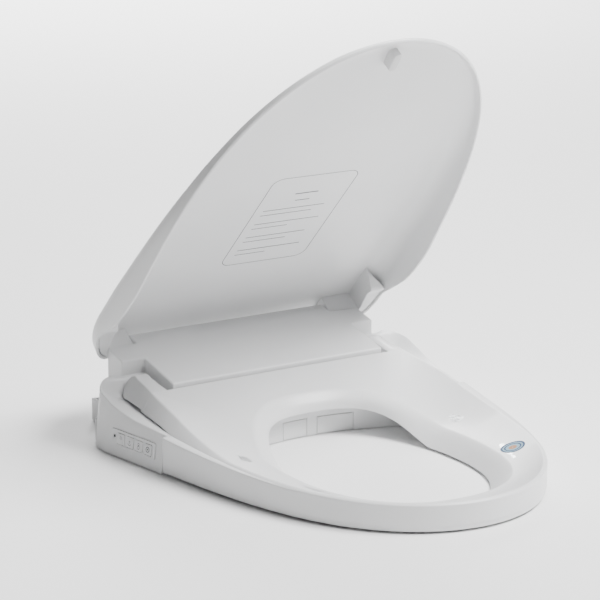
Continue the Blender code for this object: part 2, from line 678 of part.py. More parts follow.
def make_cover():
    """Top cover, hollow below, with holes for the hinge pins."""
    cover = upright("top_cover", cover_plan(), 0.030, 0.12, "white_gloss")
    wide = EAR_HALF + 0.01
    boolean(cover, across("cover_form", cover_profile(), -wide, wide), "INTERSECT")
    wall = SHELL - 0.0005
    hollow = upright("cover_hollow", cover_plan(wall), 0.020, 0.12)
    boolean(hollow, across("hollow_form", cover_profile(wall, 0.0), -wide, wide), "INTERSECT")
    boolean(cover, hollow)
    for label, side in sides():
        for name, y, z, x in (("seat", SEAT_AXIS_Y, SEAT_AXIS_Z, HUMP_HALF),
                              ("lid", LID_AXIS_Y, LID_AXIS_Z, REAR_HUMP_HALF)):
            boolean(cover, rod(f"{name}_hole_{label}", (side * (x - 0.01), y, z),
                               (side * (x + 0.01), y, z), PIN_RADIUS + GAP))
    soften(cover)


def make_rear_cover():
    """Back cover: a channel round the rear body with a flange on each side lobe."""
    outer, high = REAR_BODY_HALF + 0.0028, 0.043
    flange = HALF_WIDTH - 0.010
    near = LOBE_REAR_Y + GAP
    gap = GAP
    outline = [(-flange, near), (-REAR_BODY_HALF - gap, near), (-REAR_BODY_HALF - gap, UNIT_REAR_Y - 0.004 + gap),
               (REAR_BODY_HALF + gap, UNIT_REAR_Y - 0.004 + gap), (REAR_BODY_HALF + gap, near),
               (flange, near), (flange, near + 0.003), (outer, near + 0.003), (outer, UNIT_REAR_Y),
               (-outer, UNIT_REAR_Y), (-outer, near + 0.003), (-flange, near + 0.003)]
    back = upright("rear_cover", outline, 0.0004, high, "white_satin")
    boolean(back, rod("inlet_hole", (REAR_BODY_HALF - 0.01, 0.012, 0.024),
                      (REAR_BODY_HALF + 0.01, 0.012, 0.024), 0.0115))
    boolean(back, rod("gland_hole", (REAR_BODY_HALF - 0.045, UNIT_REAR_Y - 0.012, 0.022),
                      (REAR_BODY_HALF - 0.045, UNIT_REAR_Y + 0.012, 0.022), 0.0093))


# ---- control panel -------------------------------------------------------------------------------
def panel_frame():
    """Frame on the left side wall: local +X out of the wall, +Y towards the back, +Z up it."""
    ahead, behind = PANEL_Y - PANEL_LONG / 2, PANEL_Y + PANEL_LONG / 2
    turn = math.atan2(plan_half(behind) - plan_half(ahead), PANEL_LONG)
    lean = math.atan2(0.006, lobe_edge(PANEL_Y))
    x = -plan_half(PANEL_Y) + 0.006 * PANEL_Z / lobe_edge(PANEL_Y)
    return (Matrix.Translation((x, PANEL_Y, PANEL_Z)) @ Matrix.Rotation(math.pi + turn, 4, "Z")
            @ Matrix.Rotation(-lean, 4, "Y"))


def button_spot(i):
    """Place of a button's middle along the panel, counted from the indicator's end."""
    return 0.003 + (i - 1.5) * BUTTON_PITCH


def make_panel():
    """Bezel, four buttons, indicator lens and the small board behind them."""
    frame = panel_frame()
    bezel = box("control_bezel", (-0.0030, -PANEL_LONG / 2, -PANEL_HIGH / 2),
                (0.0014, PANEL_LONG / 2, PANEL_HIGH / 2), "white_satin", frame)
    for i, y in enumerate(button_spot(k) for k in range(4)):
        hole = box(f"button_hole_{i + 1}",
                   (-0.01, y - BUTTON_LONG / 2 - RUNNING_GAP, -BUTTON_HIGH / 2 - RUNNING_GAP),
                   (0.01, y + BUTTON_LONG / 2 + RUNNING_GAP, BUTTON_HIGH / 2 + RUNNING_GAP),
                   turn=frame)
        boolean(bezel, hole)
        key = box(f"button_{i + 1}", (-0.0028, y - BUTTON_LONG / 2, -BUTTON_HIGH / 2),
                  (0.0020, y + BUTTON_LONG / 2, BUTTON_HIGH / 2), "white_satin", frame)
        round_edges(key, 0.0006, 1)
    lamp = button_spot(0) - BUTTON_LONG / 2 - 0.0050
    boolean(bezel, rod("lamp_hole", frame @ Vector((-0.01, lamp, 0.001)),
                       frame @ Vector((0.01, lamp, 0.001)), 0.0018, sides=12))
    soften(rod("indicator_lens", frame @ Vector((-0.0028, lamp, 0.001)),
               frame @ Vector((0.0016, lamp, 0.001)), 0.0014, "lens", 12))
    box("button_board", (-0.0072, -PANEL_LONG / 2 + 0.002, -PANEL_HIGH / 2 + 0.001),
        (-0.0058, PANEL_LONG / 2 - 0.002, PANEL_HIGH / 2 - 0.001), "circuit", frame)


# ---- outlets, nozzle and dryer -------------------------------------------------------------------
def front_frame(x):
    """Frame on the bowed front wall at x: local +X along the wall, -Y out of it, +Z up."""
    slope = math.atan(-2.0 * FRONT_WALL_BOW * x)
    return Matrix.Translation((x, front_wall(x), 0.0)) @ Matrix.Rotation(slope, 4, "Z")


def make_doors():
    """Nozzle door and dryer flap, each hung from its top edge."""
    for name, x, wide in (("nozzle_door", DOOR_X, DOOR_WIDE), ("dryer_flap", FLAP_X, FLAP_WIDE)):
        leaf = box(name, (-wide / 2, 0.0, DOOR_FOOT_Z), (wide / 2, DOOR_THICK, DOOR_TOP_Z),
                   "white_satin", front_frame(x))
        leaf.data.materials[0] = finish_of("white_satin")


def nozzle_frame():
    """Frame at the parked nozzle's tip: local -Y is the way it slides out."""
    tip_y = front_wall(DOOR_X) + NOZZLE_SETBACK
    tip_z = NOZZLE_Z + NOZZLE_SETBACK * math.tan(NOZZLE_PITCH)
    return Matrix.Translation((DOOR_X, tip_y, tip_z)) @ Matrix.Rotation(NOZZLE_PITCH, 4, "X")


def make_nozzle():
    """Spray nozzle, its cradle, the motor and the pinion that drives it."""
    frame = nozzle_frame()
    wand = rod("spray_nozzle", frame @ Vector((0, 0.004, 0)), frame @ Vector((0, NOZZLE_LONG, 0)),
               NOZZLE_RADIUS, "white_gloss", 20)
    nose = rod("nozzle_nose", frame @ Vector((0, 0, 0)), frame @ Vector((0, 0.006, 0)),
               NOZZLE_RADIUS - 0.0014, sides=20, end_radius=NOZZLE_RADIUS - 0.0002)
    boolean(wand, nose, "UNION")
    rack = box("nozzle_rack", (0.0013, 0.018, -0.001), (NOZZLE_RADIUS + 0.0020, NOZZLE_LONG - 0.002, 0.001),
               turn=frame)
    boolean(wand, rack, "UNION")
    boolean(wand, rod("spray_hole", frame @ Vector((0, 0.009, 0.0)),
                      frame @ Vector((0, 0.009, 0.008)), 0.0011, sides=10))
    soften(wand)
    half = NOZZLE_RADIUS + 0.0035
    cradle = box("nozzle_cradle", (-half, 0.014, -NOZZLE_RADIUS - 0.0022),
                 (half - 0.0022, NOZZLE_LONG + 0.002, 0.0), "grey_plastic", frame)
    boolean(cradle, rod("cradle_channel", frame @ Vector((0, -0.01, 0)),
                        frame @ Vector((0, NOZZLE_LONG + 0.01, 0)), NOZZLE_RADIUS + RUNNING_GAP))
    boolean(cradle, box("rack_room", (0, -0.01, -0.0020), (0.02, NOZZLE_LONG + 0.01, 0.02), turn=frame))
    wheel_x, wheel_y = WHEEL_X, WHEEL_Y
    wheel = []
    for i in range(12):
        for offset, reach in ((-0.17, 0.0040), (-0.10, 0.0051), (0.10, 0.0051), (0.17, 0.0040)):
            a = 2.0 * math.pi * i / 12 + offset
            wheel.append((reach * math.cos(a), reach * math.sin(a)))
    pinion = loft("nozzle_pinion", [[frame @ Vector((wheel_x + u, wheel_y + v, z)) for u, v in wheel]
                                    for z in (-0.0020, 0.0020)], "grey_plastic")
    shaft = rod("pinion_shaft", frame @ Vector((wheel_x, wheel_y, 0.001)),
                frame @ Vector((wheel_x, wheel_y, 0.0042)), 0.0012, sides=10)
    boolean(pinion, shaft, "UNION")
    motor = rod("nozzle_motor", frame @ Vector((wheel_x, wheel_y, 0.0048)),
                frame @ Vector((wheel_x, wheel_y, 0.0200)), 0.0100, "steel", 24)
    soften(motor)


def make_dryer():
    """Fan housing with its impeller, and the duct to the flap."""
    x, y = FAN_X, FAN_Y
    low, high = 0.0036, 0.032
    housing = rod("fan_housing", (x, y, low), (x, y, high), FAN_RADIUS + 0.002, "grey_plastic", 32)
    boolean(housing, rod("fan_room", (x, y, low + 0.002), (x, y, high + 0.01), FAN_RADIUS, sides=32))
    duct_x = FLAP_X
    mouth = box("fan_mouth", (duct_x - 0.0140, y - 0.016, low + 0.0022),
                (x, y - 0.004, low + 0.015))
    boolean(housing, mouth)
    soften(housing)
    impeller = rod("fan_impeller", (x, y, low + 0.0030), (x, y, high - 0.002), 0.006, "dark_plastic", 20)
    disc = rod("impeller_disc", (x, y, low + 0.0030), (x, y, low + 0.0045), FAN_RADIUS - 0.003, sides=28)
    boolean(impeller, disc, "UNION")
    for i in range(9):
        turn = Matrix.Translation((x, y, 0)) @ Matrix.Rotation(2 * math.pi * i / 9, 4, "Z")
        blade = box(f"blade_{i}", (0.004, -0.0008, low + 0.0035), (FAN_RADIUS - 0.003, 0.0008, high - 0.006),
                    turn=turn)
        boolean(impeller, blade, "UNION")
    half = FLAP_WIDE / 2 - 0.0035
    start = FRONT_WALL_Y + 0.008
    duct = box("dryer_duct", (duct_x - half, start, low), (duct_x + half, -0.030, low + 0.0165),
               "grey_plastic")
    boolean(duct, box("duct_bore", (duct_x - half + 0.0015, start - 0.01, low + 0.0015),
                      (duct_x + half - 0.0015, -0.020, low + 0.0150)))


# ---- water and power -----------------------------------------------------------------------------
def tube(name, points, radius, slot, count=10):
    """A hose: rings carried along a smooth run through its points, without twisting."""
    way = smooth_run(points, 3)
    rings = []
    across_way = None
    for i, p in enumerate(way):
        along = (way[min(i + 1, len(way) - 1)] - way[max(i - 1, 0)]).normalized()
        side = across_way or along.orthogonal()
        side = (side - along * side.dot(along)).normalized()
        across_way = side
        other = along.cross(side)
        angles = [2.0 * math.pi * k / count for k in range(count)]
        rings.append([p + side * (radius * math.cos(a)) + other * (radius * math.sin(a)) for a in angles])
    return soften(loft(name, rings, slot), 60)


def smooth_run(points, steps):
    """Catmull-Rom points through a list of points."""
    pts = [Vector(p) for p in points]
    pts = [pts[0] * 2 - pts[1]] + pts + [pts[-1] * 2 - pts[-2]]
    way = []
    for a, b, c, d in zip(pts, pts[1:], pts[2:], pts[3:]):
        for i in range(steps):
            t = i / steps
            way.append(0.5 * ((2 * b) + (c - a) * t + (2 * a - 5 * b + 4 * c - d) * t * t
                              + (3 * b - 3 * c + d - a) * t ** 3))
    way.append(pts[-2])
    return way


def make_water():
    """Inlet, filter, valve, heater, pump and hoses."""
    side = REAR_BODY_HALF
    y, z = 0.012, 0.024
    inlet = rod("water_inlet", (side - 0.012, y, z), (side + 0.018, y, z), 0.0080, "brass", 24)
    boolean(inlet, rod("inlet_collar", (side + 0.0032, y, z), (side + 0.0060, y, z), 0.0105, sides=6),
            "UNION")
    boolean(inlet, rod("inlet_bore", (side - 0.002, y, z), (side + 0.030, y, z), 0.0055, sides=20))
    soften(inlet)
    strainer = rod("inlet_filter", (side - 0.0012, y, z), (side + 0.012, y, z), 0.0048, "grey_plastic", 18)
    boolean(strainer, rod("filter_bore", (side + 0.002, y, z), (side + 0.020, y, z), 0.0034, sides=14))
    valve = box("inlet_valve", (side - 0.034, y - 0.011, z - 0.011), (side - 0.0125, y + 0.011, z + 0.011),
                "grey_plastic")
    boolean(valve, rod("valve_coil", (side - 0.024, y, z + 0.009), (side - 0.024, y, z + 0.0155), 0.0085,
                       sides=20), "UNION")
    left = -HUMP_HALF + 0.010
    heater = box("water_heater", (left, HUMP_FRONT_Y + 0.008, 0.006),
                 (left + 0.054, EAR_FRONT_Y - 0.004, 0.048), "steel")
    round_edges(heater, 0.004, 2)
    pump = rod("water_pump", (left - 0.006, 0.002, 0.0045), (left - 0.006, 0.002, 0.036), 0.014,
               "dark_plastic", 24)
    boolean(pump, rod("pump_boss", (left - 0.006, 0.002, 0.034), (left - 0.006, 0.002, 0.040), 0.005,
                      sides=16), "UNION")
    soften(pump)
    across_y = UNIT_REAR_Y - 0.014
    tube("supply_hose", [(side - 0.0353, y, z), (side - 0.0395, y, z), (side - 0.048, y + 0.007, 0.031),
                         (side - 0.066, across_y, 0.0355), (0.02, across_y, 0.0358),
                         (-0.05, across_y, 0.0355), (left + 0.026, 0.014, 0.033),
                         (left + 0.0145, 0.004, 0.028), (left + 0.0095, 0.003, 0.026)], 0.0028, "hose")
    tube("heater_hose", [(left + 0.0544, -0.055, 0.020), (left + 0.0585, -0.055, 0.020),
                         (left + 0.066, -0.051, 0.020),
                         (left + 0.072, -0.040, 0.018), (left + 0.074, -0.026, 0.016)], 0.0025, "hose")


def make_power():
    """Boards, deodorising filter and the gland for the mains lead."""
    box("main_board", (0.018, HUMP_FRONT_Y + 0.010, 0.0500), (HUMP_HALF - 0.048, EAR_FRONT_Y - 0.008, 0.0516),
        "circuit")
    x = HUMP_HALF - 0.060
    box("deodoriser_filter", (x, HUMP_FRONT_Y + 0.010, 0.0060), (x + 0.044, EAR_FRONT_Y - 0.008, 0.040),
        "carbon")
    x, z = REAR_BODY_HALF - 0.045, 0.022
    gland = rod("power_gland", (x, UNIT_REAR_Y - 0.010, z), (x, UNIT_REAR_Y + 0.006, z), 0.0058,
                "dark_plastic", 20)
    boolean(gland, rod("gland_head", (x, UNIT_REAR_Y - 0.0035, z), (x, UNIT_REAR_Y + 0.006, z), 0.0088,
                       sides=20, end_radius=0.0066), "UNION")
    boolean(gland, rod("gland_bore", (x, UNIT_REAR_Y - 0.02, z), (x, UNIT_REAR_Y + 0.02, z), 0.0034,
                       sides=14))
    soften(gland)


def make_hinges():
    """Four soft-close dampers, each with the pin that its arm turns on."""
    for label, side in sides():
        for name, y, z, wall, reach in (
                ("seat", SEAT_AXIS_Y, SEAT_AXIS_Z, HUMP_HALF, ARM_SLOT + 0.009),
                ("lid", LID_AXIS_Y, LID_AXIS_Z, REAR_HUMP_HALF, 0.014)):
            end = side * (wall + reach)
            pin = rod(f"{name}_damper_{label}", (side * (wall - 0.006), y, z), (end, y, z),
                      PIN_RADIUS, "steel", 20)
            body = rod(f"{name}_barrel_{label}", (side * (wall - 0.045), y, z),
                       (side * (wall - 0.0035), y, z), 0.0052, sides=20)
            boolean(pin, body, "UNION")
            soften(pin)


def door_pivot(x):
    """Frame of a door's hinge line, along its top edge inside the leaf."""
    return front_frame(x) @ Matrix.Translation((0, DOOR_THICK / 2, DOOR_TOP_Z - 0.001))


def hang_on_pivots():
    """Puts every moving piece under an empty on its own joint axis."""
    pieces = [o.name for o in bpy.data.collections[PARTS].objects]
    pivot("lid_pivot", (0, LID_AXIS_Y, LID_AXIS_Z),
          [n for n in pieces if n == "lid_shell" or n.startswith("lid_bumper")])
    pivot("seat_pivot", (0, SEAT_AXIS_Y, SEAT_AXIS_Z),
          [n for n in pieces if n.startswith("seat_") and "damper" not in n])
    pivot("nozzle_door_pivot", door_pivot(DOOR_X), ["nozzle_door"])
    pivot("dryer_flap_pivot", door_pivot(FLAP_X), ["dryer_flap"])
    pivot("nozzle_track", nozzle_frame(), ["spray_nozzle"])
    pivot("pinion_pivot", nozzle_frame() @ Matrix.Translation((WHEEL_X, WHEEL_Y, 0)), ["nozzle_pinion"])
    pivot("fan_pivot", (FAN_X, FAN_Y, 0.020), ["fan_impeller"])
    for i in range(4):
        spot = panel_frame() @ Matrix.Translation((0, button_spot(i), 0))
        pivot(f"button_track_{i + 1}", spot, [f"button_{i + 1}"])


def main():
    start_scene()
    make_base()
    make_base_plate()
    make_cover()
    make_rear_cover()
    make_panel()
    make_doors()
    make_nozzle()
    make_dryer()
    make_water()
    make_power()
    make_hinges()
    make_seat()
    make_heater()
    hang_lid()
    hang_on_pivots()


main()
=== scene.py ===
"""Looks for the electric bidet seat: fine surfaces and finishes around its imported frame."""
import json
import math

import bmesh
import bpy
import numpy as np
from mathutils import Matrix, Vector
from mathutils.geometry import delaunay_2d_cdt


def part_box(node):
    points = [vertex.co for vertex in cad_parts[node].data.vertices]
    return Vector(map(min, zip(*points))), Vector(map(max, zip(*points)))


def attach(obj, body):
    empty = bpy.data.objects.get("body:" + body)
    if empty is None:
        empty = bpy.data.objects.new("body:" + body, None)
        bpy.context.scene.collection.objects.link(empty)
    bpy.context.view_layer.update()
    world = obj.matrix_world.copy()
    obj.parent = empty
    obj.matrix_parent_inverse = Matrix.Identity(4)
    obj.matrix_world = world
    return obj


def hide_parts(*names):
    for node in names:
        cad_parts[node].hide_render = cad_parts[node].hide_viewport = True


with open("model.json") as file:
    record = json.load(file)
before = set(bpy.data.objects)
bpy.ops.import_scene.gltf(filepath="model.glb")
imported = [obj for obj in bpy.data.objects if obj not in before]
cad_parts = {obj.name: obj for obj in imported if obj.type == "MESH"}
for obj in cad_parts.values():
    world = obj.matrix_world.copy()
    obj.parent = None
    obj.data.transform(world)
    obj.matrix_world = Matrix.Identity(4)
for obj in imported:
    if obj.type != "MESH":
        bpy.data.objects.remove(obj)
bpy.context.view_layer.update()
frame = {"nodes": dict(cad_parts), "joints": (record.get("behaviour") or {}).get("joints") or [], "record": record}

bl_info = {
    "name": "Electric Bidet Seat",
    "version": (1, 0, 0),
    "blender": (4, 5, 0),
    "location": "View3D > Sidebar > Bidet Seat",
    "description": "Builds the visible surfaces and finishes of an electric bidet seat",
    "category": "Object",
}

JOINTS = {joint["name"]: joint for joint in frame["joints"]}
LID_AXIS = Vector(JOINTS["lid_hinge"]["pos_m"])
SEAT_AXIS = Vector(JOINTS["seat_hinge"]["pos_m"])
LID_OPEN = math.radians(53.5)
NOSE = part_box("seat_top_shell")[0].y - 0.0004
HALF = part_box("base_shell")[1].x
SEAM = NOSE + 0.289
WIDEST = NOSE + 0.375
LOBE_REAR = SEAM + 0.126
HUMP_FRONT, HUMP_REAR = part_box("top_cover")[0].y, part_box("top_cover")[1].y
EAR_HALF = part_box("top_cover")[1].x
EAR_FRONT, EAR_REAR = LOBE_REAR, LOBE_REAR + 0.031
HUMP_HALF, REAR_HUMP_HALF = EAR_HALF - 0.026, EAR_HALF - 0.033
SHELF_REAR = HUMP_FRONT - 0.0015
HOLE_REAR, HOLE_FRONT, HOLE_HALF = NOSE + 0.304, NOSE + 0.044, 0.0985
HOLE_MIDDLE = (HOLE_REAR + HOLE_FRONT) / 2
HOLE_POWER = 2.3
WALL_Y, WALL_BOW = SEAM + 0.0275, 2.1
WALL_TOP, SHADOW_GAP = 0.0250, 0.0006
DECK, DECK_FOOT = 0.026, 0.0236
WALL_LEAN = 0.006
FLOOR_GAP = 0.0004
KNUCKLE, ARM_ROUND = 0.0080, 0.0112
LOBE_TURN = 0.022
NOZZLE_WAY, NOZZLE_TIP = (0.0, 0.93969, 0.34202), (-0.10567, 0.01478)
SPRAY_HOLES = ((0.009, 0.0), (0.0105, 0.0012), (0.0105, -0.0012), (0.012, 0.0), (0.006, 0.0))
STICKER_SPOT, STICKER_DROP = (0.1160, -0.3190), 0.12
LABEL_FRONT = LID_AXIS.y - 0.256
LABEL_RULES = ((0.030, 0.27, 0.0014), (0.042, 0.17, 0.0011), (0.055, 0.72, 0.0009),
               (0.063, 0.60, 0.0009), (0.078, 0.76, 0.0009), (0.086, 0.42, 0.0009),
               (0.101, 0.70, 0.0009), (0.109, 0.50, 0.0009), (0.124, 0.74, 0.0009),
               (0.132, 0.36, 0.0009))
LIGHTS = (("key", (1.05, -1.25, 2.35), (0.0, -0.2, 0.1), 1.5, 205.0),
          ("far_floor", (1.6, 3.6, 2.4), (1.7, 3.9, 0.0), 2.6, 420.0),
          ("right_window", (2.4, -0.9, 0.5), (0.0, -0.2, 0.1), 0.7, 12.0))
CAMERA_SPOT, CAMERA_SWING, CAMERA_LIFT = (-1.280083, -2.141134, 0.757635), -32.36, 14.46


# ---- shapes as arrays ----------------------------------------------------------------------------
def share(value, low, high):
    """How far a value has gone from low to high, held between 0 and 1."""
    return np.clip((np.asarray(value, float) - low) / (high - low), 0.0, 1.0)


def ease(t):
    """3t squared minus 2t cubed: level at both ends."""
    return t * t * (3.0 - 2.0 * t)


def rounded(points, radii, arc=5, wrap=False):
    """Polylines with softened corners.

    points is (corners, ..., 3).  A corner P becomes the curve (1-t)^2 A + 2t(1-t) P + t^2 B, where A
    and B lie on its two sides, one radius from P but never past the middle of a side.
    """
    points = np.asarray(points, float)
    count = len(points)
    rows = []
    for i in range(count):
        if not wrap and i in (0, count - 1):
            rows.append(points[i][None])
            continue
        here, before, after = points[i], points[i - 1], points[(i + 1) % count]
        t = np.linspace(0.0, 1.0, arc).reshape((-1,) + (1,) * here.ndim)
        reach = np.asarray(radii[i], float)[..., None]
        back, ahead = before - here, after - here
        long_back = np.linalg.norm(back, axis=-1, keepdims=True) + 1e-9
        long_ahead = np.linalg.norm(ahead, axis=-1, keepdims=True) + 1e-9
        a = here + back * np.minimum(reach / long_back, 0.48)
        b = here + ahead * np.minimum(reach / long_ahead, 0.48)
        rows.append((1 - t) ** 2 * a + 2 * t * (1 - t) * here + t ** 2 * b)
    return np.concatenate(rows)


def sheet(grid, wrap_u=False, wrap_v=False, caps=False):
    """A (rows, columns, 3) grid as a shape: its points, and quads between neighbours.

    wrap_u and wrap_v join the last row or column to the first; caps closes both end rows, or only
    the last.
    """
    rows, columns = grid.shape[:2]
    index = np.arange(rows * columns).reshape(rows, columns)
    if wrap_u:
        index = np.concatenate([index, index[:1]])
    if wrap_v:
        index = np.concatenate([index, index[:, :1]], axis=1)
    quads = np.stack([index[:-1, :-1], index[1:, :-1], index[1:, 1:], index[:-1, 1:]], axis=-1)
    faces = quads.reshape(-1, 4).tolist()
    if caps:
        faces.append(list(range((rows - 1) * columns, rows * columns)))
    if caps is True:
        faces.append(list(range(columns)))
    return grid.reshape(-1, 3), faces


def moved(shape, matrix):
    """A shape carried by a matrix: every point times its turn, plus its shift."""
    turn = np.array(matrix.to_3x3())
    return shape[0] @ turn.T + np.array(matrix.translation), shape[1]


def mirrored(shape):
    """The same shape on the other side of the middle plane, x becoming minus x."""
    return shape[0] * np.array([-1.0, 1.0, 1.0]), [face[::-1] for face in shape[1]]


def both(shape):
    """The shape and its mirror image."""
    return [shape, mirrored(shape)]


def line(x, y, z):
    """Points from their coordinates, any of which may be one number for all."""
    return np.stack(np.broadcast_arrays(x, y, z), axis=-1).astype(float)


def bar(corners, radii, arc=5, caps=True):
    """A solid from the rails along its corners, each rail softened by its radius."""
    sizes = np.array([np.full(len(corners[0]), r) for r in np.broadcast_to(radii, len(corners))])
    grid = rounded(np.array(corners), sizes, arc=arc, wrap=True).transpose(1, 0, 2)
    return sheet(grid, wrap_v=True, caps=caps)


def outline_normals(outline):
    """Outward unit normals of a closed anticlockwise plan outline, from its neighbours' chord."""
    chord = np.roll(outline, -1, axis=0) - np.roll(outline, 1, axis=0)
    normal = np.stack([chord[:, 1], -chord[:, 0]], axis=1)
    return normal / (np.linalg.norm(normal, axis=1, keepdims=True) + 1e-12)


def slab(outline, levels, height=None):
    """A plan outline carried up through levels of (inset, z), with a flat face at each end.

    height, when given, is a function of x and y that is added to z.
    """
    outline = np.asarray(outline, float)
    normal = outline_normals(outline)
    rings = []
    for inset, z in levels:
        plan = outline - normal * inset
        lift = height(plan[:, 0], plan[:, 1]) if height and z > 0 else 0.0
        rings.append(np.column_stack([plan, np.full(len(plan), z) + lift]))
    return sheet(np.array(rings), wrap_v=True, caps=True)


def soft_levels(low, high, radius, steps=4, foot=0.0):
    """Levels for a slab with rounded rims: a quarter circle at the top, and at the foot if asked."""
    a = np.linspace(0.0, math.pi / 2, steps)
    top = [(radius * (1 - math.cos(t)), high - radius * (1 - math.sin(t))) for t in a]
    if not foot:
        return [(0.0, low)] + top
    base = [(foot * (1 - math.cos(t)), low + foot * (1 - math.sin(t))) for t in a[::-1]]
    return base + top


def rectangle(width, length, radius, centre=(0.0, 0.0), arc=6):
    """A rectangle with quarter-circle corners, anticlockwise."""
    half = np.array([width / 2 - radius, length / 2 - radius])
    a = np.linspace(0.0, math.pi / 2, arc)
    points = []
    for quarter, signs in enumerate(((1, 1), (-1, 1), (-1, -1), (1, -1))):
        turn = a + quarter * math.pi / 2
        points.append(np.column_stack([half[0] * signs[0] + radius * np.cos(turn),
                                       half[1] * signs[1] + radius * np.sin(turn)]))
    return np.concatenate(points) + np.array(centre)


def ellipse(a, b, centre=(0.0, 0.0), count=48):
    """An ellipse of half axes a and b, anticlockwise."""
    turn = np.linspace(0.0, 2 * math.pi, count, endpoint=False)
    return np.column_stack([centre[0] + a * np.cos(turn), centre[1] + b * np.sin(turn)])


def turned(profile, matrix, count=40):
    """A surface of revolution: (radius, height) points swept round the matrix's own Z."""
    profile = np.asarray(profile, float)
    turn = np.linspace(0.0, 2 * math.pi, count, endpoint=False)
    grid = np.stack([profile[:, :1] * np.cos(turn), profile[:, :1] * np.sin(turn),
                     np.repeat(profile[:, 1:], count, axis=1)], axis=-1)
    return moved(sheet(grid, wrap_v=True, caps=True), matrix)


def along(start, end):
    """A frame whose Z runs from one point to another, and the distance between them."""
    start, end = Vector(start), Vector(end)
    way = end - start
    return Matrix.Translation(start) @ way.to_track_quat("Z", "Y").to_matrix().to_4x4(), way.length


def finish_name(slot):
    """A finish's name, kept apart from the plain material of the same slot that the frame brings."""
    return f"{slot}_finish"


def put(name, shapes, slot, body, replaces=(), smooth=35, matrix=None):
    """One object from shapes, with its finish, riding on a body and standing for CAD nodes."""
    verts, faces, start = [], [], 0
    for points, polygons in shapes:
        verts.append(points)
        faces += [[i + start for i in face] for face in polygons]
        start += len(points)
    verts = np.concatenate(verts)
    if matrix is not None:
        verts = verts @ np.array(matrix.to_3x3()).T + np.array(matrix.translation)
    mesh = bpy.data.meshes.new(name)
    mesh.from_pydata(verts.tolist(), [], faces)
    bm = bmesh.new()
    bm.from_mesh(mesh)
    bmesh.ops.remove_doubles(bm, verts=bm.verts, dist=1e-6)
    bmesh.ops.dissolve_degenerate(bm, edges=bm.edges, dist=1e-7)
    bmesh.ops.recalc_face_normals(bm, faces=bm.faces)
    bm.to_mesh(mesh)
    bm.free()
    mesh.shade_smooth()
    mesh.set_sharp_from_angle(angle=math.radians(smooth))
    obj = bpy.data.objects.new(name, mesh)
    bpy.context.scene.collection.objects.link(obj)
    mesh.materials.append(bpy.data.materials[finish_name(slot)])
    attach(obj, body)
    slot if slot in SLOTS else "white_gloss"
    for node in replaces:
        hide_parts(node)
    return obj


# ---- finishes ------------------------------------------------------------------------------------
SLOTS = {entry["slot"] for entry in frame["record"]["materials"]}


def node(tree, kind, links=None, **values):
    """A shader node with its socket values set and its links made."""
    made = tree.nodes.new(kind)
    for key, value in values.items():
        if hasattr(made, key) and key.islower():
            setattr(made, key, value)
        else:
            made.inputs[key.replace("_", " ")].default_value = value
    for key, source in (links or {}).items():
        tree.links.new(source, made.inputs[key])
    return made


def socket(tree, name, kind, way, value=None):
    """A socket of a node group, with its default where one is given."""
    made = tree.interface.new_socket(name=name, in_out=way, socket_type=kind)
    if value is not None:
        made.default_value = value
    return made


def ramp_between(tree, source, low, high, out_low, out_high):
    """Maps a value's range on to another, held at both ends."""
    made = tree.nodes.new("ShaderNodeMapRange")
    for i, value in enumerate((low, high, out_low, out_high), 1):
        made.inputs[i].default_value = value
    tree.links.new(source, made.inputs[0])
    return made.outputs[0]


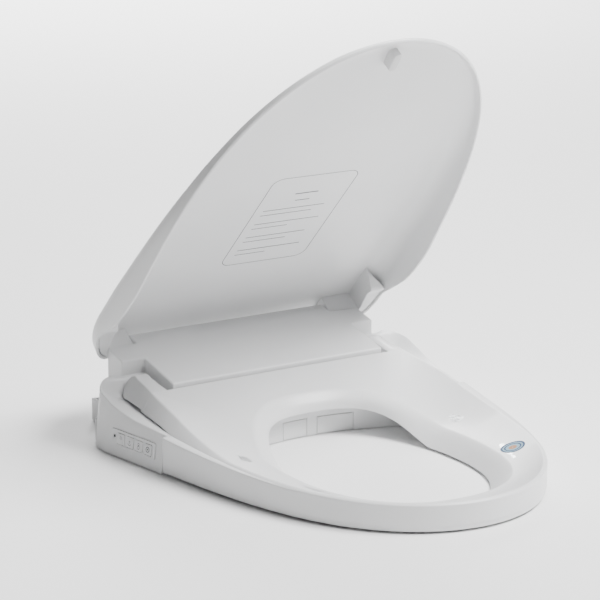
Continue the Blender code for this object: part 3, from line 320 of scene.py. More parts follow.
def moulded_group():
    """Moulded plastic: cloudy tint, fine dust, uneven gloss, and the faint peel of a polished tool.

    Tint blends two colours by a broad noise; gloss adds a finer noise to the roughness; the normal
    comes from a bump of two noises, one broad and shallow, one fine.
    """
    tree = bpy.data.node_groups.new("moulded_skin", "ShaderNodeTree")
    socket(tree, "Colour", "NodeSocketColor", "INPUT", (0.8, 0.8, 0.8, 1))
    socket(tree, "Shade", "NodeSocketColor", "INPUT", (0.7, 0.7, 0.7, 1))
    socket(tree, "Roughness", "NodeSocketFloat", "INPUT", 0.2)
    socket(tree, "Spread", "NodeSocketFloat", "INPUT", 0.04)
    socket(tree, "Grain", "NodeSocketFloat", "INPUT", 900.0)
    socket(tree, "Relief", "NodeSocketFloat", "INPUT", 0.02)
    for name, kind in (("Colour", "NodeSocketColor"), ("Roughness", "NodeSocketFloat"),
                       ("Normal", "NodeSocketVector")):
        socket(tree, name, kind, "OUTPUT")
    given = tree.nodes.new("NodeGroupInput")
    out = tree.nodes.new("NodeGroupOutput")
    place = node(tree, "ShaderNodeTexCoord").outputs["Object"]
    broad = node(tree, "ShaderNodeTexNoise", {"Vector": place}, Scale=9.0, Detail=3.0)
    cloud = ramp_between(tree, broad.outputs["Fac"], 0.35, 0.65, 0.0, 1.0)
    tint = node(tree, "ShaderNodeMix", data_type="RGBA")
    tree.links.new(cloud, tint.inputs[0])
    tree.links.new(given.outputs["Colour"], tint.inputs[6])
    tree.links.new(given.outputs["Shade"], tint.inputs[7])
    tree.links.new(tint.outputs[2], out.inputs["Colour"])
    patch = node(tree, "ShaderNodeTexNoise", {"Vector": place}, Scale=60.0, Detail=4.0)
    uneven = node(tree, "ShaderNodeMath", {0: patch.outputs["Fac"], 1: given.outputs["Spread"]},
                  operation="MULTIPLY")
    gloss = node(tree, "ShaderNodeMath", {0: uneven.outputs[0], 1: given.outputs["Roughness"]},
                 operation="ADD")
    tree.links.new(gloss.outputs[0], out.inputs["Roughness"])
    fine = node(tree, "ShaderNodeTexNoise", {"Vector": place, "Scale": given.outputs["Grain"]},
                Detail=2.0)
    peel = node(tree, "ShaderNodeTexNoise", {"Vector": place}, Scale=140.0, Detail=1.0)
    height = node(tree, "ShaderNodeMath", {0: fine.outputs["Fac"], 1: peel.outputs["Fac"]},
                  operation="ADD")
    bump = node(tree, "ShaderNodeBump", {"Height": height.outputs[0], "Strength": given.outputs["Relief"]},
                Distance=0.0006)
    tree.links.new(bump.outputs["Normal"], out.inputs["Normal"])
    return tree


def skin(slot, colour, shade, roughness, spread, grain, relief, metallic=0.0, coat=0.0):
    """One finish: the moulded group feeding a Principled shader, with its constant values set."""
    made = bpy.data.materials.new(finish_name(slot))
    made.use_nodes = True
    tree = made.node_tree
    shader = tree.nodes["Principled BSDF"]
    group = tree.nodes.new("ShaderNodeGroup")
    group.node_tree = bpy.data.node_groups["moulded_skin"]
    group.inputs["Colour"].default_value = (*colour, 1)
    group.inputs["Shade"].default_value = (*shade, 1)
    for name, value in (("Roughness", roughness), ("Spread", spread), ("Grain", grain), ("Relief", relief)):
        group.inputs[name].default_value = value
    tree.links.new(group.outputs["Colour"], shader.inputs["Base Color"])
    tree.links.new(group.outputs["Roughness"], shader.inputs["Roughness"])
    tree.links.new(group.outputs["Normal"], shader.inputs["Normal"])
    shader.inputs["Metallic"].default_value = metallic
    shader.inputs["Coat Weight"].default_value = coat
    shader.inputs["Coat Roughness"].default_value = 0.04
    return made


FINISHES = {
    "white_gloss": ((0.74, 0.742, 0.746), (0.715, 0.718, 0.723), 0.33, 0.04, 700.0, 0.02, 0.0, 0.05),
    "white_satin": ((0.71, 0.712, 0.717), (0.685, 0.688, 0.693), 0.30, 0.08, 1500.0, 0.10, 0.0, 0.1),
    "grey_plastic": ((0.30, 0.31, 0.33), (0.27, 0.28, 0.30), 0.48, 0.10, 1800.0, 0.25),
    "dark_plastic": ((0.035, 0.035, 0.04), (0.05, 0.05, 0.055), 0.42, 0.12, 1800.0, 0.25),
    "soft_pad": ((0.66, 0.66, 0.665), (0.63, 0.63, 0.635), 0.50, 0.10, 1200.0, 0.20),
    "circuit": ((0.02, 0.13, 0.06), (0.03, 0.19, 0.09), 0.35, 0.15, 400.0, 0.30),
    "steel": ((0.62, 0.63, 0.65), (0.55, 0.56, 0.58), 0.24, 0.12, 2200.0, 0.15, 1.0),
    "brass": ((0.72, 0.68, 0.58), (0.66, 0.60, 0.48), 0.20, 0.12, 1500.0, 0.10, 1.0),
    "hose": ((0.50, 0.53, 0.56), (0.44, 0.47, 0.50), 0.40, 0.10, 900.0, 0.15),
    "foil": ((0.78, 0.79, 0.80), (0.70, 0.71, 0.72), 0.22, 0.15, 500.0, 0.60, 1.0),
    "carbon": ((0.03, 0.03, 0.03), (0.06, 0.06, 0.06), 0.85, 0.10, 700.0, 0.90),
    "lens": ((0.02, 0.025, 0.03), (0.03, 0.035, 0.045), 0.08, 0.04, 900.0, 0.01, 0.0, 0.5),
    "print_grey": ((0.02, 0.022, 0.025), (0.03, 0.032, 0.035), 0.35, 0.05, 900.0, 0.02),
    "print_blue": ((0.004, 0.035, 0.11), (0.006, 0.045, 0.13), 0.60, 0.05, 900.0, 0.02),
    "print_pale": ((0.24, 0.38, 0.47), (0.22, 0.35, 0.44), 0.60, 0.05, 900.0, 0.02),
    "print_sand": ((0.45, 0.22, 0.10), (0.40, 0.19, 0.09), 0.60, 0.05, 900.0, 0.02),
}


# ---- the plan's curves ---------------------------------------------------------------------------
def plan_half(y):
    """Half the plan's width: a linear taper times the square root of 1 - u^4.8 towards the nose."""
    u = share(-y, -WIDEST, -NOSE)
    return HALF * (1.0 - 0.28 * u) * np.sqrt(np.maximum(1.0 - u ** 4.8, 0.0))


def nose_stations(start, end, count):
    """Stations bunched at the nose: start + span (1 - cos a), a running to a quarter turn."""
    a = np.linspace(0.0, math.pi / 2, count)
    return start + (end - start) * (1.0 - np.cos(a))


def offset_curve(x, y, inset):
    """A plan curve moved inwards along its own normal by an amount that may vary along it."""
    tangent = np.stack([np.gradient(x), np.gradient(y)], axis=1)
    tangent /= np.linalg.norm(tangent, axis=1, keepdims=True) + 1e-12
    return x - tangent[:, 1] * inset, y + tangent[:, 0] * inset


def skirt_top(y):
    """The front skirt's height, rising as the square of the way to the seam."""
    t = share(y, NOSE, SEAM)
    return 0.0265 + 0.0115 * t * t


def ledge_width(y):
    """The skirt's flat ledge, nothing at the front and 10 mm at the seam."""
    return 0.0002 + 0.0100 * share(y, SEAM - 0.184, SEAM) ** 1.1


def arm_foot_x(y):
    """Outer foot of the seat behind the seam, carrying on from the skirt's line."""
    return HALF - 0.0225 - 0.095 * (y - SEAM)


def arm_rim_x(y):
    """The seat's rim line behind the seam."""
    return HALF - 0.0350 - 0.085 * (y - SEAM)


def hump_top(y):
    """The top cover's slope."""
    return 0.065 + 0.235 * (y - HUMP_FRONT)


def gutter(y):
    """The casing's shelf beside the cover, which the seat's arms lie on."""
    return 0.0375 + 0.045 * (y - SEAM)


# ---- the seat ------------------------------------------------------------------------------------
def seat_boundary():
    """The right half of the seat's outer edges: flank foot F and rim edge E, nose to cover, then
    along the cover to the middle.  E is F drawn in by a few millimetres in front, more at the sides.
    """
    front = nose_stations(NOSE + 1e-5, SEAM, 110)
    side = np.linspace(SEAM + 0.0030, SHELF_REAR, 34)[1:]
    x, y = plan_half(front), front
    ledge = ledge_width(front)
    foot_x, foot_y = offset_curve(x, y, ledge)
    t = share(front, SEAM - 0.094, SEAM)
    rim_x, rim_y = offset_curve(x, y, ledge + 0.0030 + 0.0095 * t)
    near = ease(share(y, SEAM - 0.040, SEAM))
    foot_y, rim_y = foot_y + (y - foot_y) * near, rim_y + (y - rim_y) * near
    rim_z = skirt_top(front) + 0.0022 + 0.0093 * t ** 1.4
    foot_z = skirt_top(front) + 0.0002
    foot_x[0] = rim_x[0] = 0.0
    back_x = arm_foot_x(side)
    back_rim = arm_rim_x(side)
    shelf = np.linspace(1.0, 0.0, 46)[1:]
    shelf_x = shelf * back_rim[-1]
    foot = np.column_stack([np.concatenate([foot_x, back_x, shelf_x]),
                            np.concatenate([foot_y, side, np.full(45, SHELF_REAR)]),
                            np.concatenate([foot_z, gutter(side) + 0.003 - 0.0022 * (1.0 - ease(
                                share(side, SEAM, SEAM + 0.022))), np.full(45, 0.0290)])])
    rim = np.column_stack([np.concatenate([rim_x, back_rim, shelf_x]),
                           np.concatenate([rim_y, side, np.full(45, SHELF_REAR)]),
                           np.concatenate([rim_z, 0.0497 + 0.150 * (side - SEAM) + 0.0003 * share(
                               side, SEAM, SEAM + 0.02),
                                           0.0603 + 0.0010 * (1.0 - shelf ** 2)])])
    rim[110:143, 0] = np.minimum(rim[110:143, 0], foot[110:143, 0] - 0.002)
    return foot, rim


def opening_point(way_x, way_y, grow):
    """The opening's edge in a direction from its middle: a superellipse, grown by some distance."""
    a, b = HOLE_HALF + grow, (HOLE_REAR - HOLE_FRONT) / 2 + grow
    total = np.abs(way_x / a) ** HOLE_POWER + np.abs(way_y / b) ** HOLE_POWER
    length = total ** (-1.0 / HOLE_POWER)
    return way_x * length, HOLE_MIDDLE + way_y * length


def seat_ring():
    """The seat's ring and shelf.  Round the opening, each direction has one profile: up the
    opening's wall, over its fat rounded lip, along the dished top to the rim, down the flank, and
    back underneath.  The dish falls from the rim as 1 - (1-u)^p, u going from rim to opening.
    """
    foot, rim = seat_boundary()
    way_x, way_y = rim[:, 0], rim[:, 1] - HOLE_MIDDLE
    size = np.hypot(way_x, way_y)
    way_x, way_y = way_x / size, way_y / size
    hole_x, hole_y = opening_point(way_x, way_y, 0.0)
    climb = share(hole_y, HOLE_REAR - 0.095, HOLE_REAR)
    lip_wide = 0.0065 + 0.0025 * climb
    lip_x, lip_y = opening_point(way_x, way_y, lip_wide)
    lip_z = 0.0190 + 0.0285 * ease(climb)
    hole_z = lip_z - 0.0045 - 0.0065 * climb ** 1.5
    rear = ease(share(hole_y, HOLE_REAR - 0.090, HOLE_REAR - 0.004))
    under = np.minimum(0.0022 + 0.0268 * rear, hole_z - 0.004)
    foot_x, foot_y = opening_point(way_x, way_y, -0.0010)
    draft_x, draft_y = opening_point(way_x, way_y, -0.0130)
    foot_x, foot_y = draft_x + (foot_x - draft_x) * rear, draft_y + (foot_y - draft_y) * rear
    hole = np.column_stack([hole_x, hole_y, hole_z])
    wall = np.column_stack([foot_x, foot_y, under])
    lip = np.column_stack([lip_x, lip_y, lip_z])
    power = 1.55 - 0.50 * share(rim[:, 1], SEAM, SHELF_REAR)
    tops = []
    for u in np.linspace(1.0, 0.0, 12)[1:-1]:
        point = rim + (lip - rim) * u
        point[:, 2] = rim[:, 2] + (lip_z - rim[:, 2]) * (1.0 - (1.0 - u) ** power)
        tops.append(point)
    inner_foot = foot.copy()
    inner_foot[:, 2] = np.where(rim[:, 1] < SEAM - 1e-6, 0.0068, foot[:, 2] - 0.0006)
    below = wall + (inner_foot - wall) * 0.06
    below[:, 2] = under
    corners = [wall, hole, lip] + tops + [rim, foot, inner_foot, below]
    radii = [0.001, 0.0045, 0.0060] + [0.02] * len(tops) + [0.0022, 0.0006, 0.0004, 0.001]
    return bar(corners, radii, caps=False)


def seat_belt():
    """The upright skirt round the front: a rounded bar's profile carried along the plan, seam to
    nose, leaning in a little as it rises, with a flat ledge on top."""
    y = nose_stations(NOSE, SEAM - 0.0034, 120)
    x = plan_half(y)
    ledge = ledge_width(y)
    top = skirt_top(y)

    def rail(inset, z):
        px, py = offset_curve(x, y, inset)
        px[0] = 0.0
        return line(px, py, z)

    profile = [rail(0.0030, 0.0022), rail(0.0010, 0.0022), rail(0.0, top),
               rail(ledge + 0.0012, top + 0.0003), rail(ledge + 0.0030, top - 0.004)]
    radii = np.array([np.full(len(y), r) for r in (0.0005, 0.0016, 0.0014, 0.0003, 0.001)])
    half = rounded(np.array(profile), radii, arc=5, wrap=True).transpose(1, 0, 2)
    inward = half[-1].mean(axis=0) - half[-1]
    inward /= np.linalg.norm(inward, axis=1, keepdims=True)
    ends = [half[-1] + inward * 0.0016 * (1.0 - math.cos(a)) + [0.0, 0.0018 * math.sin(a), 0.0]
            for a in (0.5, 1.0, math.pi / 2)]
    return sheet(np.concatenate([half, np.array(ends)]), wrap_v=True, caps="last")


def seat_arm_shape():
    """A seat arm: its side view, a bar with a round end about the hinge, carried across in x with
    softened rims; its outer face follows the flank between rim line and foot line."""
    turn = np.linspace(math.pi * 0.55, -math.pi / 2, 26)
    end = np.column_stack([SEAT_AXIS.y + ARM_ROUND * np.cos(turn), SEAT_AXIS.z + ARM_ROUND * np.sin(turn)])
    front = SHELF_REAR - 0.006
    top = np.column_stack([np.linspace(front, SEAT_AXIS.y - 0.006, 16), np.zeros(16)])
    top[:, 1] = 0.050 + 0.150 * (top[:, 0] - SEAM)
    top[:, 1] -= 0.0035 * share(SHELF_REAR - top[:, 0], 0.0, 0.006)
    bottom = np.column_stack([np.linspace(SEAT_AXIS.y - 0.004, front, 14), np.zeros(14)])
    bottom[:, 1] = np.maximum(gutter(bottom[:, 0]) + 0.0028, SEAT_AXIS.z - ARM_ROUND)
    side = np.concatenate([top, end, bottom])
    middle = np.array([[(front + SEAT_AXIS.y) / 2, SEAT_AXIS.z - 0.002]])
    inner = HUMP_HALF + 0.0070
    rim_x = arm_rim_x(side[:, 0])
    low_x = arm_foot_x(side[:, 0])
    z_top = 0.050 + 0.150 * (side[:, 0] - SEAM)
    rise = share(side[:, 1], gutter(side[:, 0]) + 0.003, z_top)
    outer = low_x + (np.minimum(rim_x, low_x - 0.002) - low_x) * rise
    pull = side - middle
    pull /= np.linalg.norm(pull, axis=1, keepdims=True)
    rings = []
    for face, edge, inset in ((1, 0.0, 0.0018), (1, 0.0005, 0.0007), (1, 0.0016, 0.0),
                              (-1, 0.0016, 0.0), (-1, 0.0005, 0.0006), (-1, 0.0, 0.0017)):
        plan = side - pull * inset
        x = np.full(len(side), inner + edge) if face > 0 else outer - edge
        rings.append(np.column_stack([x, plan]))
    return sheet(np.array(rings), wrap_v=True, caps=True)


# ---- the lid, described closed -------------------------------------------------------------------
def lid_lip_curve():
    """The right half of the closed lid's free edge, nose to hinge, as points: the plan's nose rule
    with power 3.5, a straight side, then a quarter turn in to the hinge arm."""
    front, widest = NOSE - 0.004, WIDEST - 0.020
    y = nose_stations(front, widest, 110)
    u = share(-y, -widest, -front)
    half = HALF - 0.020
    x = half * (1.0 - 0.10 * u) * np.sqrt(np.maximum(1.0 - u ** 3.5, 0.0))
    bend = LOBE_REAR - 0.010
    side = np.linspace(widest, bend, 20)[1:]
    turn = np.linspace(0.0, math.pi / 2, 20)[1:]
    corner_x = EAR_HALF + 0.001 + (half - EAR_HALF - 0.001) * np.cos(turn)
    corner_y = bend + (LID_AXIS.y - 0.002 - bend) * np.sin(turn) ** 1.25
    x = np.concatenate([x, np.full(19, half), corner_x])
    y = np.concatenate([y, side, corner_y])
    rise = 0.013 * np.maximum((y - (WIDEST - 0.060)) / 0.080, 0.0) ** 1.6
    z = 0.031 + 0.0305 * (y - front) + rise + 0.006 * share(y, widest + 0.022, LOBE_REAR)
    z = np.minimum(z, 0.0700)
    return np.column_stack([x, y, z])


def lid_crown(y):
    """The inner face's height: a straight fall to the front that eases level near the nose."""
    nose = share(-y, 0.285, 0.427)
    return LID_AXIS.z + 0.0194 - 0.152 * (LID_AXIS.y - y) + 0.009 * nose ** 2


def lid_dish():
    """The lid's inner face.  Every point of the lip looks inwards to a spine on the middle plane;
    the profile climbs from the lip as a leaning quarter turn and then follows the crown's height."""
    lip = lid_lip_curve()
    front = NOSE - 0.004
    y = lip[:, 1]
    spine_y = np.maximum(y, front + 0.085 + 0.10 * (y - front))
    tail = share(y, LOBE_REAR, LID_AXIS.y - 0.002)
    spine_y = spine_y + (LID_AXIS.y + 0.0100 - spine_y) * tail
    spine = np.column_stack([np.zeros(len(y)), spine_y])
    inward = spine - lip[:, :2]
    span = np.linalg.norm(inward, axis=1, keepdims=True)
    inward = inward / span
    tuck = np.minimum(0.021, 0.32 * span[:, 0])
    rows = [lip]
    for a in np.linspace(0.0, math.pi / 2, 12):
        plan = lip[:, :2] + inward * (tuck * (1.0 - math.cos(a)) + 0.0012)[:, None]
        top = lid_crown(plan[:, 1])
        up = np.minimum(0.0165, 0.78 * (top - lip[:, 2]))
        rows.append(np.column_stack([plan, top - up * (1.0 - math.sin(a))]))
    last = rows[-1]
    for t in np.linspace(0.0, 1.0, 14)[1:]:
        plan = last[:, :2] + (spine - last[:, :2]) * t
        quick = t ** (1.0 - 0.85 * tail ** 2)
        plan[:, 1] = last[:, 1] + (spine[:, 1] - last[:, 1]) * quick
        rows.append(np.column_stack([plan, lid_crown(plan[:, 1])]))
    rows[-1][:, 0] = 0.0
    return np.array(rows).transpose(1, 0, 2)


def lid_turn():
    """From the closed description to the lid's place at rest, turned open about its hinge."""
    return (Matrix.Translation(LID_AXIS) @ Matrix.Rotation(-LID_OPEN, 4, "X")
            @ Matrix.Translation(-LID_AXIS))


def lid_wall(grid, thickness):
    """A closed wall from a grid: the grid itself, the grid moved out along its normals, and a rim
    between them, so the free edge is a narrow rounded band."""
    du = np.gradient(grid, axis=0)
    dv = np.gradient(grid, axis=1)
    normal = np.cross(du, dv)
    normal /= np.linalg.norm(normal, axis=2, keepdims=True) + 1e-12
    if normal[..., 2].mean() < 0:
        normal = -normal
    normal[:, -1, 0] = 0.0
    normal[0, :, 0] = 0.0
    normal /= np.linalg.norm(normal, axis=2, keepdims=True) + 1e-12
    outer = grid + normal * thickness
    lip = grid[:, 0]
    rim = [lip + normal[:, 0] * thickness * f - np.array([0, 0, 1]) * d
           for f, d in ((0.12, 0.0007), (0.5, 0.0011), (0.88, 0.0007))]
    return np.concatenate([grid[:, ::-1], np.stack(rim, axis=1), outer], axis=1)


def lid_shapes(thickness):
    """The lid's two halves, of some wall thickness, and its two hinge arms."""
    half = sheet(lid_wall(lid_dish(), thickness), caps="last")
    return both(half) + both(lid_arm_shape())


def lid_arm_shape():
    """A hinge arm, as sections along y: a web level with the lip fills the dish's corner outside the
    cover's ear, turns in behind it and ends round about the hinge."""
    lip = lid_lip_curve()
    ahead = np.linspace(-0.048, LID_AXIS.y - KNUCKLE - 0.0005, 26)
    round_end = LID_AXIS.y + KNUCKLE * np.sin(np.linspace(-math.pi / 2, math.pi / 2, 18))
    y = np.concatenate([ahead, round_end + 1e-5])
    outer = np.interp(y, lip[60:, 1], lip[60:, 0]) - 0.0012
    outer = np.minimum(outer, HALF - 0.0215)
    behind = ease(share(y, LID_AXIS.y - KNUCKLE - 0.0014, LID_AXIS.y - KNUCKLE + 0.0010))
    inner = (EAR_HALF + 0.0009) + (REAR_HUMP_HALF + 0.0016 - EAR_HALF - 0.0009) * behind
    inner = np.minimum(inner, outer - 0.001)
    lip_z = np.interp(y, lip[60:, 1], lip[60:, 2])
    level = np.minimum(lip_z + 0.0012, LID_AXIS.z - KNUCKLE)
    near = ease(share(LID_AXIS.y - y, 0.004, 0.016))
    level = LID_AXIS.z - KNUCKLE + (level - LID_AXIS.z + KNUCKLE) * near
    reach = np.clip((y - LID_AXIS.y) / KNUCKLE, -1.0, 1.0)
    circle = LID_AXIS.z - KNUCKLE * np.sqrt(1.0 - reach ** 2)
    start = ease(share(y, -0.048, -0.030))
    crown = lid_crown(y)
    foot = np.where(y > LID_AXIS.y, circle, level)
    foot = crown - 0.001 + (foot - crown + 0.001) * start
    outer = np.maximum(outer - 0.0185 * (1.0 - start), inner + 0.0004)
    mid = np.maximum(outer - 0.0075, inner + 0.0002)
    corners = [line(inner, y, foot), line(outer, y, foot),
               line(outer, y, np.maximum(crown - 0.0160, foot + 0.0004)),
               line(mid, y, np.maximum(crown - 0.0048, foot + 0.0006)),
               line(np.maximum(outer - 0.0190, inner + 0.0001), y, crown + 0.0006),
               line(inner, y, crown + 0.0007)]
    return bar(corners, 0.0012)


# ---- the unit ------------------------------------------------------------------------------------
def lobe_edge(y):
    """The side wall's top edge: a slow rise that sweeps up towards the back."""
    return 0.0385 + 0.07 * (y - SEAM) + 0.018 * share(y, SEAM + 0.045, LOBE_REAR) ** 1.7


def lobe_shape():
    """The right side lobe: ring sections across it, stationed from the seam to the back.  The wall
    leans in, turns over a soft edge, and the shoulder scoops down as t squared and up again at the
    back; the last sections draw in by a quarter circle in plan."""
    bend = LOBE_REAR - LOBE_TURN
    turn = np.linspace(0.0, math.pi / 2, 18)[1:]
    y = np.concatenate([np.linspace(SEAM, bend, 44), bend + LOBE_TURN * np.sin(turn)])
    back = share(y, bend, LOBE_REAR)
    pull = LOBE_TURN * (1.0 - np.sqrt(np.maximum(1.0 - back * back, 0.0)))
    wall = plan_half(y) - pull
    edge = wall - WALL_LEAN
    inner, shelf_in = EAR_HALF - 0.030, EAR_HALF + 0.002
    high = lobe_edge(y)
    low = gutter(y)
    rise = ease(share(y, LOBE_REAR - 0.012, LOBE_REAR - 0.002)) * (high - low - 0.002)
    low = low + rise
    corners = [line(inner, y, 0.0003), line(wall - 0.0008, y, 0.0003), line(wall, y, 0.0012),
               line(edge, y, high)]
    for t in (0.80, 0.55, 0.30, 0.0):
        corners.append(line(shelf_in + (edge - shelf_in) * t, y, low + (high - low) * t * t))
    corners.append(line(inner, y, low))
    radii = [0.0004, 0.0005, 0.0008, 0.0018, 0.003, 0.006, 0.006, 0.006, 0.0004]
    sizes = np.array([np.full(len(y), r) for r in radii])
    grid = rounded(np.array(corners), sizes, arc=5, wrap=True).transpose(1, 0, 2)
    pull = grid[0].mean(axis=0) - grid[0]
    pull /= np.linalg.norm(pull, axis=1, keepdims=True)
    first = grid[0] + pull * 0.0006 - np.array([0.0, 0.0006, 0.0])
    last = grid[-1] + (grid[-1].mean(axis=0) - grid[-1]) * 0.03 + np.array([0.0, 0.0005, 0.0])
    return sheet(np.concatenate([first[None], grid, last[None]]), wrap_v=True, caps=True)


def wall_y(x):
    """Where the bowed front wall stands: it falls back as the square of x."""
    return WALL_Y - WALL_BOW * x * x


def wall_panel(low_x, high_x, low_z, high_z, depth=0.003, soft=0.0004, count=14):
    """A rectangle of the bowed front wall as a solid: x runs along it, y follows the wall."""
    x = np.linspace(low_x, high_x, count)
    y = wall_y(x)
    corners = [line(x, y, low_z), line(x, y, high_z), line(x, y + depth, high_z), line(x, y + depth, low_z)]
    return bar(corners, soft, arc=4)


def stepped(xs, ys, cells, low, high):
    """A stepped block over a few plan cells: its foot and top follow two functions of y.

    cells lists the (x interval, y interval) pairs that are filled; walls stand where a filled cell
    meets an empty one.
    """
    x, y = np.meshgrid(np.asarray(xs, float), np.asarray(ys, float), indexing="ij")
    points = np.concatenate([np.stack([x, y, low(y)], axis=-1).reshape(-1, 3),
                             np.stack([x, y, high(y)], axis=-1).reshape(-1, 3)])
    rows, total, filled = len(ys), len(xs) * len(ys), set(cells)
    faces = []
    for i, j in cells:
        a, b, c, d = i * rows + j, (i + 1) * rows + j, (i + 1) * rows + j + 1, i * rows + j + 1
        faces += [[a + total, b + total, c + total, d + total], [d, c, b, a]]
        for near, (p, q) in (((i, j - 1), (a, b)), ((i + 1, j), (b, c)),
                             ((i, j + 1), (c, d)), ((i - 1, j), (d, a))):
            if near not in filled:
                faces.append([p, q, q + total, p + total])
    return points, faces


def cover_shape():
    """The top cover: an H in plan, its top a steady slope that rolls over at the back as a square."""
    roll = HUMP_REAR - 0.0090
    xs = [-EAR_HALF, -HUMP_HALF, -REAR_HUMP_HALF, REAR_HUMP_HALF, HUMP_HALF, EAR_HALF]
    ys = [HUMP_FRONT, EAR_FRONT, EAR_REAR] + np.linspace(roll, HUMP_REAR, 6).tolist()
    cells = [(i, 0) for i in (1, 2, 3)] + [(i, 1) for i in range(5)] + [(2, j) for j in range(2, 8)]

    def low(y):
        return np.where(y < EAR_FRONT - 1e-6, gutter(y) + 0.0003, 0.0444)

    def high(y):
        return hump_top(y) - 0.0095 * share(y, roll, HUMP_REAR) ** 2

    return stepped(xs, ys, cells, low, high)


def soften(obj, width, angle=30, segments=4):
    """Rounds the piece's sharp edges with a bevel of that width."""
    made = obj.modifiers.new("soft_edges", "BEVEL")
    made.width = width
    made.segments = segments
    made.limit_method = "ANGLE"
    made.angle_limit = math.radians(angle)
    obj.data.shade_smooth()
    return obj


# ---- the control panel ---------------------------------------------------------------------------
PANEL_Y, PANEL_Z, PANEL_LONG, PANEL_HIGH = NOSE + 0.335, 0.0195, 0.070, 0.0165
TO_FACE = Matrix(((0, 0, 1, 0), (1, 0, 0, 0), (0, 1, 0, 0), (0, 0, 0, 1)))


def panel_frame():
    """The panel's frame on the left wall: X out of the wall, Y along it, Z up its lean."""
    ahead, behind = PANEL_Y - PANEL_LONG / 2, PANEL_Y + PANEL_LONG / 2
    turn = math.atan2(plan_half(behind) - plan_half(ahead), PANEL_LONG)
    lean = math.atan2(WALL_LEAN, lobe_edge(PANEL_Y))
    x = -plan_half(PANEL_Y) + WALL_LEAN * PANEL_Z / lobe_edge(PANEL_Y)
    return (Matrix.Translation((x, PANEL_Y, PANEL_Z)) @ Matrix.Rotation(math.pi + turn, 4, "Z")
            @ Matrix.Rotation(-lean, 4, "Y"))


def framed(outer, holes, levels):
    """A plate with windows: the outer outline and each window outline as rings joined by walls.

    The face between them is filled with triangles across the constrained outlines.
    """
    rims = [np.asarray(outer, float)] + [np.asarray(hole, float)[::-1] for hole in holes]
    points, faces = [], []
    for inset, z in levels:
        for rim in rims:
            plan = rim - outline_normals(rim) * inset
            points.append(np.column_stack([plan, np.full(len(plan), z)]))
    total = sum(len(rim) for rim in rims)
    for step in range(len(levels) - 1):
        start = step * total
        for rim in rims:
            k = np.arange(len(rim))
            n = (k + 1) % len(rim)
            faces += np.stack([start + k, start + n, start + n + total, start + k + total], axis=1).tolist()
            start += len(rim)
    flat = np.concatenate(rims)
    edges, start = [], 0
    for rim in rims:
        k = np.arange(len(rim))
        edges += np.stack([start + k, start + (k + 1) % len(rim)], axis=1).tolist()
        start += len(rim)
    _, _, triangles, _, _, _ = delaunay_2d_cdt([Vector(p) for p in flat], edges, [], 0, 1e-9)
    centre = np.array([flat[list(t)].mean(axis=0) for t in triangles])
    keep = np.ones(len(triangles), bool)
    for hole in holes:
        keep &= ~inside(centre, np.asarray(hole, float))
    for level in (0, len(levels) - 1):
        faces += [[i + level * total for i in t] for t, k in zip(triangles, keep) if k]
    return np.concatenate(points), faces


def inside(points, outline):
    """Which points lie in an outline: the count of its edges crossed by a ray along x is odd."""
    a, b = outline, np.roll(outline, -1, axis=0)
    x, y = points[:, :1], points[:, 1:]
    spans = (a[:, 1] > y) != (b[:, 1] > y)
    cross = a[:, 0] + (y - a[:, 1]) * (b[:, 0] - a[:, 0]) / (b[:, 1] - a[:, 1] + 1e-15)
    return (np.sum(spans & (x < cross), axis=1) % 2) == 1


def key_spot(i, sizes):
    """Where a key sits along the panel, the keys' middle being 3 mm behind the panel's."""
    return 0.003 + (i - 1.5) * sizes.key_pitch


def lamp_spot(sizes):
    """Where the lamp sits along the panel: 5 mm ahead of the first key's edge."""
    return key_spot(0, sizes) - sizes.key_long / 2 - 0.0050


def ring_mark(radius, width, centre, z, start=0.0, end=360.0, count=28):
    """A flat ring or part of one, as a thin printed mark."""
    turn = np.radians(np.linspace(start, end, count))
    rails = [line(centre[0] + r * np.cos(turn), centre[1] + r * np.sin(turn), z)
             for r in (radius - width / 2, radius + width / 2)]
    return sheet(np.array(rails))


def bar_mark(a, b, width, z):
    """A flat straight stroke between two points."""
    a, b = np.array(a, float), np.array(b, float)
    way = (b - a) / (np.linalg.norm(b - a) + 1e-12)
    side = np.array([-way[1], way[0]]) * width / 2
    corners = np.array([[a - side, a + side], [b - side, b + side]])
    return sheet(np.concatenate([corners, np.full((2, 2, 1), z)], axis=-1))


def key_mark(kind, centre, z):
    """Generic key symbols: fan strokes, a wide spray, a narrow spray, and a stop square in a ring."""
    x, y = centre
    u = 0.0013
    if kind == 0:
        return [ring_mark(u * r, 0.0003, (x - 1.6 * u, y - u), z, 20, 80, 12) for r in (1.6, 2.6, 3.6)]
    if kind == 1:
        return [ring_mark(1.9 * u, 0.0004, (x, y - 0.2 * u), z, 200, 340, 18),
                bar_mark((x, y - u), (x, y + 1.4 * u), 0.0004, z),
                bar_mark((x - 0.9 * u, y), (x - 0.5 * u, y + 1.3 * u), 0.0003, z),
                bar_mark((x + 0.9 * u, y), (x + 0.5 * u, y + 1.3 * u), 0.0003, z)]
    if kind == 2:
        return [ring_mark(0.9 * u, 0.0004, (x, y + 1.3 * u), z),
                ring_mark(1.3 * u, 0.0004, (x, y - 1.1 * u), z),
                bar_mark((x, y - 0.6 * u), (x, y + 0.6 * u), 0.0004, z)]
    return [ring_mark(1.9 * u, 0.0007, (x, y), z),
            bar_mark((x - 0.7 * u, y), (x + 0.7 * u, y), 0.0014, z)]


# ---- panel and prints on sloping faces -----------------------------------------------------------
def draped(shapes, lift):
    """Flat prints laid on the lid's inner face: each point takes the crown's height plus a hair."""
    return [(line(p[:, 0], p[:, 1], lid_crown(p[:, 1]) + lift + p[:, 2]), f) for p, f in shapes]


